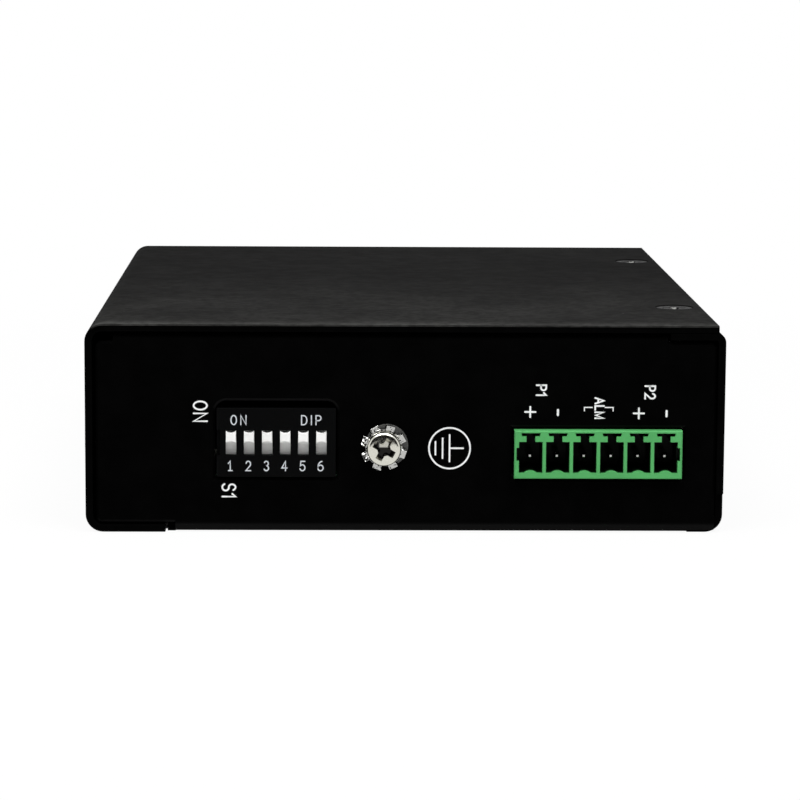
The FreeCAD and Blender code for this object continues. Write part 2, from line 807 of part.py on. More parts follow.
def make_pins():
    """Square header pins, tapered in front and bent down through the board."""
    pins = []
    z = board_top + pin_height
    half = pin_side / 2
    shoulder = header_front + pin_recess + pin_taper
    back = header_back + pin_leg
    point = tapered_bar(pin_side, pin_side, pin_tip / pin_side, pin_taper)
    for x in header_spots:
        tip = aim(point, V(x, shoulder, z), FRONT)
        leg = block((x - half, x + half), (back - pin_side, back), (board_top - pin_drop, z + half))
        pin = tip.fuse([pin_bar(x, shoulder, back), leg])
        pins.append(pin.removeSplitter())
    return Part.makeCompound(pins)


def make_plain_washer():
    """Flat ring standing on the origin."""
    bore = Part.makeCylinder(plain_washer_bore_r, plain_washer_thickness)
    return Part.makeCylinder(plain_washer_r, plain_washer_thickness).cut(bore)


def make_lock_washer():
    """External-tooth lock washer lying on the origin, its teeth twisted out of plane."""
    half_t = washer_thickness / 2
    twist = math.radians(tooth_twist)
    lift = tooth_width / 2 * math.sin(twist) + half_t * math.cos(twist)
    ring = Part.makeCylinder(earth_head_r + washer_rim, washer_thickness, V(0, 0, lift - half_t))
    inner = earth_head_r + tooth_clearance
    for index in range(washer_teeth):
        tooth = block((inner, washer_tooth_r), (-tooth_width / 2, tooth_width / 2), (-half_t, half_t))
        tooth.rotate(V(0, 0, 0), V(1, 0, 0), tooth_twist)
        tooth.translate(V(0, 0, lift))
        tooth.rotate(V(0, 0, 0), UP, washer_turn + 360 * index / washer_teeth)
        ring = ring.fuse(tooth)
    bore = Part.makeCylinder(washer_bore_r, 2 * lift)
    return ring.cut(bore), lift + half_t


def make_chip(x, y, size):
    """Flat component body standing on the board with a chamfered top edge."""
    top = board_top + size[2]
    body = block((x - size[0] / 2, x + size[0] / 2), (y - size[1] / 2, y + size[1] / 2), (board_top, top))
    return body.makeChamfer(component_chamfer, edges_where(body, lambda p: near(p.z, top)))


def make_capacitor(x, y):
    """Standing round capacitor."""
    return Part.makeCylinder(capacitor_r, capacitor_height, V(x, y, board_top), UP)


lock_washer, lock_washer_top = make_lock_washer()
earth_place = V(earth_x, -end_y, earth_z)
plain_place = earth_place + V(plain_washer_across, 0, plain_washer_rise)
lock_place = earth_place + FRONT * plain_washer_thickness
clip_nut = weld_nut(clip_hole_r, clip_nut_height)
clip_inner = rail_x - sheet

parts = {
    "cover": make_cover(),
    "base": make_base(),
    "cover_screws_upper": make_flat_screws(upper_screws, height, UP),
    "cover_screws_lower": make_flat_screws(lower_screws, 0, DOWN),
    "earth_screw": aim(make_earth_screw(), lock_place + FRONT * lock_washer_top, FRONT),
    "earth_lock_washer": aim(lock_washer, lock_place, FRONT),
    "earth_plain_washer": aim(make_plain_washer(), plain_place, FRONT),
    "earth_nut": aim(weld_nut(screw_hole_r, nut_height), earth_place + REAR * sheet, REAR),
    "clip_nuts": Part.makeCompound([aim(clip_nut, V(clip_inner, y, z), LEFT) for y, z in clip_spots]),
    "board_standoffs": make_standoffs(),
    "board_screws": make_board_screws(),
    "main_board": make_board(),
    "port_lenses_front": Part.makeCompound([at_port(make_lens(-1), spot) for spot in port_spots]),
    "port_lenses_rear": Part.makeCompound([at_port(make_lens(1), spot) for spot in port_spots]),
    "status_lamps": make_lamp_lenses(),
    "status_lamp_holders": make_lamp_holders(),
    "switch_housing": make_dip_housing(),
    "switch_base": make_dip_base(),
    "switch_leads": make_dip_leads(),
    "terminal_header": make_header(),
    "terminal_pins": make_pins(),
    "line_transformers": Part.makeCompound([make_chip(line_x, y, transformer_size) for y in port_spots]),
    "network_chip": make_chip(network_chip_x, network_chip_y, network_chip_size),
    "crystal": make_chip(network_chip_x, crystal_y, crystal_size),
    "alarm_relay": make_chip(relay_x, relay_y, relay_size),
    "supply_fuse": make_chip(fuse_x, surge_y, fuse_size),
    "surge_diodes": Part.makeCompound([make_chip(x, y, diode_size) for x, y in diode_spots]),
    "supply_choke": make_chip(relay_x, choke_y, choke_size),
    "supply_chip": make_chip(capacitor_x, supply_chip_y, supply_chip_size),
    "supply_capacitors": Part.makeCompound([make_capacitor(x, y) for x, y in capacitor_spots]),
}
for number, spot in enumerate(port_spots, 1):
    parts["port_%d_shield" % number] = at_port(make_shield(), spot)
    parts["port_%d_insert" % number] = at_port(make_insert(), spot)
    parts["port_%d_contacts" % number] = at_port(make_contacts(), spot)
for number, spot in enumerate(dip_spots, 1):
    parts["slider_%d" % number] = make_slider(spot)

os.makedirs("parts", exist_ok=True)
for name, shape in parts.items():
    shape.exportStep("parts/%s.step" % name)
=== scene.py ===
import math

import bmesh
import bpy
from bpy.props import FloatProperty, FloatVectorProperty, PointerProperty
from mathutils import Matrix, Vector


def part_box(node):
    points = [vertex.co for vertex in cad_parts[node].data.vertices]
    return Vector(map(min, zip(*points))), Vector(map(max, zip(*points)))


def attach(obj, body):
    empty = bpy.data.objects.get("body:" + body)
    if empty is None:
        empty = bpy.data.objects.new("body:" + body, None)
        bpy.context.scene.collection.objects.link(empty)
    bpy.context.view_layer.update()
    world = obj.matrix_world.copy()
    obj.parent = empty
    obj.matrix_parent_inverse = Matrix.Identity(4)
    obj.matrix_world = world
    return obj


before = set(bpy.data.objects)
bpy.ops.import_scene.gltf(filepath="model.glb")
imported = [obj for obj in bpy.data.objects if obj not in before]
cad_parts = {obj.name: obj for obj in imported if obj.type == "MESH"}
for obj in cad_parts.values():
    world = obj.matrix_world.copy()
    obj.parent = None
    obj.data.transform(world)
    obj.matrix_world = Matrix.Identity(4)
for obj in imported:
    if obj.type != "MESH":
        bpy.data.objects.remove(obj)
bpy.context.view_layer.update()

bl_info = {
    "name": "Rail network switch",
    "version": (1, 0, 0),
    "blender": (4, 5, 0),
    "location": "3D View > Sidebar > Switch",
    "description": "Dresses the rail network switch: finishes, moulded edges, printed marks and studio",
    "category": "Object",
}

MM = 0.001

PORT_NUMBERS = range(1, 6)
SLIDER_NUMBERS = range(1, 7)

# Height of a face's normal, from where the top's painted light and dust, or the painted floor reflection
# on faces that look down, begin to where they are full
DUST_AND_LIGHT_TURN = (0.4, 1.0)
FLOOR_REFLECTION_TURN = (-0.03, -0.4)

# Painted light and the housing's dust on the top plate: the plate is painted paler towards the terminal
# end, as the light falls there, and most of all in a painted highlight along its front edge
PAINTED_LIGHT_RISE_Y = (20 * MM, -66 * MM)
PAINTED_HIGHLIGHT_EDGE_Y = (-52 * MM, -57 * MM)
PAINTED_HIGHLIGHT_GAIN = 2.8
TOP_PLATE_Z = (-0.9 * MM, -0.5 * MM)

# Painted shade: the header's chambers are laid dark behind their mouths, but not the outside of the roof
CHAMBER_SHADE_Y = (0.25 * MM, 1.3 * MM)
CHAMBER_SHADE_ROOF_Z = (-0.2 * MM, -0.3 * MM)

# Painted shade in the earth screw's recess and along the edges round it, left out on a patch above the
# middle
RECESS_RADIUS = 1.9 * MM
RECESS_Y = (0.3 * MM, 0.6 * MM)
UNSHADED_Z = (0.1 * MM, 0.3 * MM)
UNSHADED_HALF = (0.8 * MM, 0.5 * MM)
UNSHADED_SHARE = 0.75

# Painted glint: depth in the recesses of the cover screws where lighter zinc is laid
GLINT_Z = (-0.05 * MM, -0.15 * MM)

# Edges of the frame's meshes: flat below the first angle, sharp above the second, round below the third
WELD_DISTANCE = 0.0005 * MM
FLAT_ANGLE = math.radians(0.5)
SHARP_ANGLE = math.radians(35)
ROUND_ANGLE = math.radians(40)
EDGE_SEGMENTS = 2


def colour_setting(name, description, default):
    """Colour property with a linear default."""
    return FloatVectorProperty(
        name=name, description=description, subtype='COLOR', size=3, min=0.0, max=1.0, default=default)


def share_setting(name, description, default):
    """Property between nothing and all."""
    return FloatProperty(
        name=name, description=description, subtype='FACTOR', min=0.0, max=1.0, default=default)


def length_setting(name, description, default):
    """Length property in metres."""
    return FloatProperty(
        name=name, description=description, unit='LENGTH', min=0.0, precision=6, default=default)


def angle_setting(name, description, degrees):
    """Angle property whose default is given in degrees."""
    return FloatProperty(
        name=name, description=description, subtype='ANGLE', default=math.radians(degrees))


def power_setting(name, description, default):
    """Lamp power property."""
    return FloatProperty(name=name, description=description, unit='POWER', min=0.0, default=default)


class SwitchFinish(bpy.types.PropertyGroup):
    """Colours and textures of the switch's surfaces."""

    coat_colour: colour_setting("Coat", "Black powder coat of the housing", (0.0008, 0.0008, 0.0008))
    coat_roughness: share_setting("Coat roughness", "Roughness of the powder coat", 0.66)
    coat_grain: length_setting("Coat grain", "Width of the powder coat's grain", 0.22 * MM)
    # This amount also sets the painted light on the top plate: how much paler it is painted towards the
    # terminal end and along its front edge
    coat_dust: share_setting("Coat dust", "Dust on the top plate, thickest at the terminal end", 0.06)
    screw_black: colour_setting("Black zinc", "Plating of the cover screws", (0.012, 0.012, 0.012))
    nickel: colour_setting("Nickel", "Plating of the earth screw", (0.74, 0.73, 0.65))
    washer_zinc: colour_setting("Zinc", "Plating of the earth screw's washers", (0.56, 0.56, 0.54))
    tin: colour_setting("Tin", "Plating of the terminal pins", (0.55, 0.54, 0.53))
    gold: colour_setting("Gold", "Plating of the socket contacts", (0.83, 0.6, 0.24))
    shield_steel: colour_setting("Shield", "Plated foil round the sockets", (0.62, 0.61, 0.58))
    header_green: colour_setting("Header", "Moulded terminal header", (0.09, 0.405, 0.125))
    moulded_black: colour_setting(
        "Black moulding", "Option switch and socket inserts", (0.0016, 0.0017, 0.0018))
    slider_white: colour_setting("Slider", "Moulded sliders", (0.96, 0.96, 0.94))
    print_white: colour_setting("Print", "Marks printed on the housing", (0.86, 0.87, 0.87))
    option_print: colour_setting("Option print", "Marks on the option switch", (0.64, 0.67, 0.71))
    board_green: colour_setting("Board", "Solder mask of the board", (0.012, 0.11, 0.04))
    lamp_green: colour_setting("Green lens", "Clouded green lamp windows", (0.2, 0.5, 0.24))
    lamp_amber: colour_setting("Amber lens", "Clouded amber lamp windows", (0.75, 0.42, 0.08))
    lamp_clear: colour_setting("Clear lens", "Clouded status lamps", (0.62, 0.66, 0.62))


class SwitchDetail(bpy.types.PropertyGroup):
    """Sizes of the details that are laid over the frame."""

    moulded_round: length_setting("Moulded edge", "Rounding on the edges of moulded pieces", 0.09 * MM)
    stamped_round: length_setting("Stamped edge", "Rounding on the edges of stamped metal", 0.04 * MM)
    print_thickness: length_setting("Print thickness", "Height of the printed marks", 0.012 * MM)
    letter_stroke: length_setting("Letter stroke", "Width of lines in the housing's letters", 0.25 * MM)
    symbol_stroke: length_setting("Symbol stroke", "Width of lines in the housing's symbols", 0.24 * MM)
    option_stroke: length_setting("Option stroke", "Width of lines on the option switch", 0.165 * MM)


class SwitchStage(bpy.types.PropertyGroup):
    """Camera, floor and lamps."""

    camera_place: FloatVectorProperty(
        name="Camera place", description="Where the camera stands", subtype='TRANSLATION', unit='LENGTH',
        default=(-0.01067, -0.49918, 0.08325))
    camera_yaw: angle_setting("Camera yaw", "Turn to the left", -1.279)
    camera_pitch: angle_setting("Camera pitch", "Tilt down", 8.276)
    camera_roll: angle_setting("Camera roll", "Turn about the line of sight", -0.355)
    focal_length: FloatProperty(
        name="Focal length", description="Lens of the camera", unit='CAMERA', default=143.25)
    sensor: FloatProperty(
        name="Sensor", description="Width of the camera's sensor", unit='CAMERA', default=36.0)
    floor_half: length_setting("Floor", "Half of the floor's width", 6.0)
    shadow_reach: length_setting("Shadow reach", "Distance at which the floor is plain white", 0.25)
    floor_glow: share_setting("Floor glow", "Share of the floor's white that takes no shadow", 0.94)
    overhead_power: power_setting("Overhead lamp", "Soft lamp above the switch", 5.0)
    front_power: power_setting("Front lamps", "Soft lamps to the left and right of the camera", 5.5)
    ambient: share_setting("Ambient", "Even light from all round", 0.1)
    card_distance: length_setting("Card distance", "From the switch to the dark card", 0.9)
    card_height: length_setting("Card height", "Height of the dark card", 0.7)


def settings(context):
    """Finish, detail and stage settings of the scene."""
    scene = context.scene
    return scene.switch_finish, scene.switch_detail, scene.switch_stage


# Shader node groups

# Scale of the mottle's noise against that of the grain
MOTTLE_PER_GRAIN = 0.06


def new_group(name, inputs, outputs):
    """Empty shader group with named value inputs and outputs, and its two end nodes."""
    tree = bpy.data.node_groups.new(name, 'ShaderNodeTree')
    for in_out, labels in (('INPUT', inputs), ('OUTPUT', outputs)):
        for label in labels:
            tree.interface.new_socket(label, in_out=in_out, socket_type='NodeSocketFloat')
    return tree, tree.nodes.new('NodeGroupInput'), tree.nodes.new('NodeGroupOutput')


def set_inputs(node, values):
    """Plain values of a node's inputs by their labels."""
    for label, value in values.items():
        node.inputs[label].default_value = value


def add_math(tree, operation, first, second=None, clamp=False):
    """Math node fed by sockets or numbers, and its result."""
    node = tree.nodes.new('ShaderNodeMath')
    node.operation = operation
    node.use_clamp = clamp
    for socket, source in zip(node.inputs, (first, second)):
        if isinstance(source, (int, float)):
            socket.default_value = source
        elif source is not None:
            tree.links.new(source, socket)
    return node.outputs[0]


def add_noise(tree, vector, scale, detail, roughness=0.5):
    """Noise texture with its scale as a number or a socket, and its value."""
    noise = tree.nodes.new('ShaderNodeTexNoise')
    set_inputs(noise, {"Detail": detail, "Roughness": roughness})
    tree.links.new(vector, noise.inputs["Vector"])
    if isinstance(scale, (int, float)):
        noise.inputs["Scale"].default_value = scale
    else:
        tree.links.new(scale, noise.inputs["Scale"])
    return noise.outputs["Fac"]


def add_range(tree, value, low, high, to_low=0.0, to_high=1.0):
    """Smooth change from one value to another between two limits of a source."""
    node = tree.nodes.new('ShaderNodeMapRange')
    node.interpolation_type = 'SMOOTHSTEP'
    tree.links.new(value, node.inputs["Value"])
    set_inputs(node, {"From Min": low, "From Max": high, "To Min": to_low, "To Max": to_high})
    return node.outputs["Result"]


def add_step(tree, value, start, limits):
    """Smooth change from nothing to one between two limits that are counted from a start."""
    return add_range(tree, value, start + limits[0], start + limits[1])


def object_place(tree):
    """Place on the piece in its own axes."""
    return tree.nodes.new('ShaderNodeTexCoord').outputs["Object"]


def build_grain_group():
    """Fine grain: a height for bump and a slow mottle, both from the size of one grain."""
    tree, enter, leave = new_group("Fine grain", ["Grain Size"], ["Height", "Mottle"])
    place = object_place(tree)
    fine = add_math(tree, 'DIVIDE', 1.0, enter.outputs["Grain Size"])
    grain = add_noise(tree, place, fine, detail=2.0, roughness=0.6)
    tree.links.new(grain, leave.inputs["Height"])
    slow = add_math(tree, 'DIVIDE', MOTTLE_PER_GRAIN, enter.outputs["Grain Size"])
    mottle = add_noise(tree, place, slow, detail=3.0)
    tree.links.new(add_range(tree, mottle, 0.3, 0.7), leave.inputs["Mottle"])


def build_wear_group():
    """Edge mask: a broken mask along edges, where the rounded normal leaves the flat one. It lays wear on
    finishes, and painted shade on the earth screw.
    """
    tree, enter, leave = new_group("Edge mask", ["Edge Width", "Amount"], ["Mask"])
    bevel = tree.nodes.new('ShaderNodeBevel')
    bevel.samples = 4
    tree.links.new(enter.outputs["Edge Width"], bevel.inputs["Radius"])
    flat = tree.nodes.new('ShaderNodeNewGeometry').outputs["Normal"]
    agree = tree.nodes.new('ShaderNodeVectorMath')
    agree.operation = 'DOT_PRODUCT'
    tree.links.new(bevel.outputs["Normal"], agree.inputs[0])
    tree.links.new(flat, agree.inputs[1])
    edge = add_range(tree, agree.outputs["Value"], 0.99, 0.8)
    patches = add_range(tree, add_noise(tree, object_place(tree), scale=900.0, detail=3.0), 0.35, 0.65)
    mask = add_math(tree, 'MULTIPLY', edge, patches)
    mask = add_math(tree, 'MULTIPLY', mask, enter.outputs["Amount"], clamp=True)
    tree.links.new(mask, leave.inputs["Mask"])


def part_of(tree, vector, axis):
    """One axis of a vector."""
    split = tree.nodes.new('ShaderNodeSeparateXYZ')
    tree.links.new(vector, split.inputs[0])
    return split.outputs[axis]


def facing_up(tree):
    """One on faces that look up, nothing on upright ones and minus one on faces that look down."""
    return part_of(tree, tree.nodes.new('ShaderNodeNewGeometry').outputs["Normal"], "Z")


def build_dust_group():
    """Mask for dust and painted light: a thin uneven veil and a few specks of dust on upward faces,
    painted paler towards the terminal end as the light falls there, and most of all along its edge as a
    painted highlight.
    """
    tree, enter, leave = new_group("Dust", ["Amount", "Rear Share"], ["Mask"])
    upward = add_range(tree, facing_up(tree), *DUST_AND_LIGHT_TURN)
    place = object_place(tree)
    along = part_of(tree, place, "Y")
    # Painted light: the mask grows towards the terminal end, and along the front edge it is raised
    # further into a painted highlight
    painted_front_light = add_range(tree, along, *PAINTED_LIGHT_RISE_Y)
    rear = enter.outputs["Rear Share"]
    added = add_math(tree, 'MULTIPLY', painted_front_light, add_math(tree, 'SUBTRACT', 1.0, rear))
    edge = add_range(tree, along, *PAINTED_HIGHLIGHT_EDGE_Y, 1.0, PAINTED_HIGHLIGHT_GAIN)
    share = add_math(tree, 'MULTIPLY', add_math(tree, 'ADD', rear, added), edge)
    veil = add_range(tree, add_noise(tree, place, scale=60.0, detail=4.0), 0.3, 0.7, 0.7, 1.3)
    fine = add_range(tree, add_noise(tree, place, scale=900.0, detail=2.0), 0.25, 0.75, 0.6, 1.4)
    specks = add_range(tree, add_noise(tree, place, scale=1400.0, detail=1.0), 0.76, 0.84, 0.0, 2.0)
    layer = add_math(tree, 'ADD', add_math(tree, 'MULTIPLY', veil, fine), specks)
    mask = add_math(tree, 'MULTIPLY', add_math(tree, 'MULTIPLY', upward, share), layer)
    mask = add_math(tree, 'MULTIPLY', mask, enter.outputs["Amount"], clamp=True)
    tree.links.new(mask, leave.inputs["Mask"])


def build_scratch_group():
    """Fine scratches: long thin streaks for plated and stamped metal."""
    tree, enter, leave = new_group("Fine scratches", ["Spacing"], ["Height", "Streak"])
    stretch = tree.nodes.new('ShaderNodeMapping')
    set_inputs(stretch, {"Scale": (1.0, 0.06, 1.0), "Rotation": (0.4, 0.9, 0.6)})
    tree.links.new(object_place(tree), stretch.inputs["Vector"])
    scale = add_math(tree, 'DIVIDE', 1.0, enter.outputs["Spacing"])
    streak = add_noise(tree, stretch.outputs["Vector"], scale, detail=2.0, roughness=0.7)
    tree.links.new(streak, leave.inputs["Height"])
    tree.links.new(add_range(tree, streak, 0.35, 0.65), leave.inputs["Streak"])


# Finishes

# Colour sockets of a mix node, whose labels are the same as those of its number sockets
MIX_UNDER = 6
MIX_OVER = 7
MIX_RESULT = 2
# Greys laid where the mask of dust and painted light is high; on the housing they paint the top plate
# paler where the light falls
COAT_DUST_AND_LIGHT_GREY = (0.2, 0.2, 0.19)
BOARD_DUST_AND_LIGHT_GREY = (0.3, 0.3, 0.28)


def shader_of(material):
    """Shader of a finish."""
    return material.node_tree.nodes["Principled BSDF"]


def new_finish(name, colour, roughness, metallic=0.0, specular=0.5):
    """Material whose plain values stand on its shader."""
    material = bpy.data.materials.new(name)
    material.use_nodes = True
    set_inputs(shader_of(material), {
        "Base Color": (*colour, 1.0), "Roughness": roughness, "Metallic": metallic,
        "Specular IOR Level": specular})
    return material


def use_group(material, group, **values):
    """Group placed in a finish with its own values."""
    node = material.node_tree.nodes.new('ShaderNodeGroup')
    node.node_tree = bpy.data.node_groups[group]
    for label, value in values.items():
        node.inputs[label.replace("_", " ").title()].default_value = value
    return node


def blend_colour(material, mask, colour):
    """Lays a colour over the finish where a mask is high."""
    tree = material.node_tree
    target = shader_of(material).inputs["Base Color"]
    mix = tree.nodes.new('ShaderNodeMix')
    mix.data_type = 'RGBA'
    under, over = mix.inputs[MIX_UNDER], mix.inputs[MIX_OVER]
    if target.is_linked:
        tree.links.new(target.links[0].from_socket, under)
    else:
        under.default_value = target.default_value
    over.default_value = (*colour, 1.0)
    tree.links.new(mask, mix.inputs["Factor"])
    tree.links.new(mix.outputs[MIX_RESULT], target)


def vary_roughness(material, mask, spread):
    """Roughness that changes by a spread about its plain value."""
    target = shader_of(material).inputs["Roughness"]
    middle = target.default_value
    changed = add_range(material.node_tree, mask, 0.0, 1.0, middle - spread / 2, middle + spread / 2)
    material.node_tree.links.new(changed, target)


def add_bump(material, height, distance, strength):
    """Fine relief on a finish."""
    tree = material.node_tree
    bump = tree.nodes.new('ShaderNodeBump')
    set_inputs(bump, {"Strength": strength, "Distance": distance})
    tree.links.new(height, bump.inputs["Height"])
    target = shader_of(material).inputs["Normal"]
    if target.is_linked:
        tree.links.new(target.links[0].from_socket, bump.inputs["Normal"])
    tree.links.new(bump.outputs["Normal"], target)


def lay_grain(material, grain_size, colour, distance, strength):
    """Fine grain on a finish: mottle in a second colour and relief. Gives the mottle's mask."""
    grain = use_group(material, "Fine grain", grain_size=grain_size)
    blend_colour(material, grain.outputs["Mottle"], colour)
    add_bump(material, grain.outputs["Height"], distance, strength)
    return grain.outputs["Mottle"]


def lay_wear(material, edge_width, amount, colour):
    """Worn edges on a finish in a second colour."""
    wear = use_group(material, "Edge mask", edge_width=edge_width, amount=amount)
    blend_colour(material, wear.outputs["Mask"], colour)


def scaled(colour, factor):
    """Colour made lighter or darker."""
    return [min(1.0, channel * factor) for channel in colour]


def powder_coat(finish):
    """Fine black powder coat: thinner on its edges, with a painted reflection of the floor where it faces
    down, and painted light with dust on top.
    """
    coat = new_finish("powder_coat", finish.coat_colour, finish.coat_roughness, specular=0.004)
    mottled, worn, painted_floor_reflection = [scaled(finish.coat_colour, lighter) for lighter in (1.6, 4.0, 9.0)]
    mottle = lay_grain(coat, finish.coat_grain, mottled, distance=0.012 * MM, strength=0.5)
    lay_wear(coat, edge_width=0.15 * MM, amount=0.5, colour=worn)
    tree = coat.node_tree
    # Painted reflection: faces that look down are laid paler, as if they mirrored the white floor
    blend_colour(coat, add_range(tree, facing_up(tree), *FLOOR_REFLECTION_TURN), painted_floor_reflection)
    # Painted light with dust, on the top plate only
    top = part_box("cover")[1].z
    on_top = add_step(tree, part_of(tree, object_place(tree), "Z"), top, TOP_PLATE_Z)
    dust = use_group(coat, "Dust", amount=finish.coat_dust, rear_share=0.25)
    blend_colour(coat, add_math(tree, 'MULTIPLY', dust.outputs["Mask"], on_top), COAT_DUST_AND_LIGHT_GREY)
    vary_roughness(coat, mottle, spread=0.05)
    return coat


def plated(name, colour, roughness, spacing, metallic=1.0, specular=0.5):
    """Plated metal with fine scratches and brighter worn edges."""
    metal = new_finish(name, colour, roughness, metallic, specular)
    streaks = use_group(metal, "Fine scratches", spacing=spacing)
    blend_colour(metal, streaks.outputs["Streak"], scaled(colour, 0.82))
    lay_wear(metal, edge_width=0.08 * MM, amount=0.5, colour=scaled(colour, 1.25))
    vary_roughness(metal, streaks.outputs["Streak"], spread=0.1)
    add_bump(metal, streaks.outputs["Height"], distance=0.004 * MM, strength=0.4)
    return metal


def moulded(name, colour, roughness, grain_size, specular=0.5):
    """Moulded plastic with a faint grain and paler edges."""
    plastic = new_finish(name, colour, roughness, specular=specular)
    mottle = lay_grain(plastic, grain_size, scaled(colour, 0.9), distance=0.006 * MM, strength=0.3)
    lay_wear(plastic, edge_width=0.1 * MM, amount=0.4, colour=scaled(colour, 1.35))
    vary_roughness(plastic, mottle, spread=0.08)
    return plastic


def header_moulding(finish):
    """Green moulding with painted shade in its chambers, behind their mouths."""
    green = moulded(
        "header_green", finish.header_green, roughness=0.42, grain_size=0.3 * MM, specular=0.12)
    tree = green.node_tree
    low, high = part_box("terminal_header")
    place = object_place(tree)
    # Painted shade: deep in the chambers, below the roof's outside, the green is laid nearly black
    deep = add_step(tree, part_of(tree, place, "Y"), low.y, CHAMBER_SHADE_Y)
    under_roof = add_step(tree, part_of(tree, place, "Z"), high.z, CHAMBER_SHADE_ROOF_Z)
    painted_shade_green = scaled(finish.header_green, 0.01)
    blend_colour(green, add_math(tree, 'MULTIPLY', deep, under_roof), painted_shade_green)
    return green


def screw_nickel(finish):
    """Bright nickel with painted shade in the cross recess of the earth screw."""
    nickel = plated("screw_nickel", finish.nickel, roughness=0.14, spacing=0.06 * MM)
    tree = nickel.node_tree
    low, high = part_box("earth_screw")
    place = object_place(tree)
    # Painted shade: the recess and the edges round it are laid nearly black, less so on a patch above the
    # middle
    deep = add_step(tree, part_of(tree, place, "Y"), low.y, RECESS_Y)
    across = add_math(tree, 'SUBTRACT', part_of(tree, place, "X"), (low.x + high.x) / 2)
    above = add_math(tree, 'SUBTRACT', part_of(tree, place, "Z"), (low.z + high.z) / 2)
    squares = [add_math(tree, 'POWER', offset, 2.0) for offset in (across, above)]
    off_centre = add_math(tree, 'SQRT', add_math(tree, 'ADD', *squares))
    inside = add_math(tree, 'LESS_THAN', off_centre, RECESS_RADIUS)
    shaded_edges = use_group(nickel, "Edge mask", edge_width=0.2 * MM, amount=0.9).outputs["Mask"]
    painted_shade = add_math(tree, 'MULTIPLY', add_math(tree, 'MAXIMUM', deep, shaded_edges), inside)
    off_axis = add_math(tree, 'ABSOLUTE', across)
    unshaded = add_math(tree, 'MULTIPLY', add_range(tree, above, *UNSHADED_Z, 0.0, UNSHADED_SHARE),
                      add_range(tree, off_axis, *UNSHADED_HALF))
    painted_shade_colour = scaled(finish.nickel, 0.022)
    blend_colour(nickel, add_math(tree, 'SUBTRACT', painted_shade, unshaded, clamp=True), painted_shade_colour)
    return nickel


def cover_screw_zinc(finish):
    """Black zinc with a painted glint of lighter zinc in the recesses."""
    black = plated("black_zinc", finish.screw_black, roughness=0.5, spacing=0.08 * MM,
                   metallic=0.0, specular=0.06)
    tree = black.node_tree
    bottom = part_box("cover_screws_lower")[0].z
    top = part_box("cover_screws_upper")[1].z
    place = object_place(tree)
    off_middle = add_math(tree, 'SUBTRACT', part_of(tree, place, "Z"), (top + bottom) / 2)
    half = (top - bottom) / 2
    # Painted glint: patches of lighter zinc just inside the recesses
    deep = add_step(tree, add_math(tree, 'ABSOLUTE', off_middle), half, GLINT_Z)
    patches = add_range(tree, add_noise(tree, place, scale=2000.0, detail=2.0), 0.42, 0.6)
    painted_glint_zinc = scaled(finish.washer_zinc, 0.6)
    blend_colour(black, add_math(tree, 'MULTIPLY', deep, patches), painted_glint_zinc)
    return black


def stamped_zinc(finish):
    """Zinc on stamped teeth, which are a little wavy."""
    zinc = plated("zinc_plate", finish.washer_zinc, roughness=0.16, spacing=0.05 * MM)
    tree = zinc.node_tree
    waves = add_noise(tree, object_place(tree), scale=1500.0, detail=1.0)
    add_bump(zinc, waves, distance=0.25 * MM, strength=1.0)
    return zinc


def clouded_lens(name, colour):
    """Clouded lamp window with a clear glossy skin."""
    lens = moulded(name, colour, roughness=0.3, grain_size=0.4 * MM)
    set_inputs(shader_of(lens), {
        "Subsurface Weight": 0.3, "Subsurface Radius": [0.4 * MM] * 3, "Coat Weight": 0.6})
    return lens


def printed(name, colour):
    """Screen print with a slightly uneven film of ink."""
    ink = new_finish(name, colour, roughness=0.6, specular=0.2)
    lay_grain(ink, 0.12 * MM, scaled(colour, 0.93), distance=0.004 * MM, strength=0.3)
    return ink


def solder_mask(finish):
    """Solder mask over glass cloth."""
    mask = new_finish("solder_mask", finish.board_green, roughness=0.35)
    lay_grain(mask, 0.5 * MM, scaled(finish.board_green, 1.3), distance=0.01 * MM, strength=0.3)
    # The board uses the same mask, so it too is painted paler towards the terminal end, as painted light
    dust = use_group(mask, "Dust", amount=0.03, rear_share=0.1)
    blend_colour(mask, dust.outputs["Mask"], BOARD_DUST_AND_LIGHT_GREY)
    return mask


# Pieces


def dress(material, *nodes, edge=0.0):
    """Gives frame nodes their finish, and rounds their sharp edges if a width is given."""
    for node in nodes:
        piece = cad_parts[node]
        piece.data.materials.clear()
        piece.data.materials.append(material)
        if edge:
            soften(piece, edge)


def soften(piece, width):
    """Rounds the sharp edges of a piece without touching its mesh."""
    weld = piece.modifiers.new("weld", 'WELD')
    weld.merge_threshold = WELD_DISTANCE
    flatten = piece.modifiers.new("flatten", 'DECIMATE')
    flatten.decimate_type = 'DISSOLVE'
    flatten.angle_limit = FLAT_ANGLE
    bevel = piece.modifiers.new("round", 'BEVEL')
    bevel.width = width
    bevel.segments = EDGE_SEGMENTS
    bevel.limit_method = 'ANGLE'
    bevel.angle_limit = SHARP_ANGLE


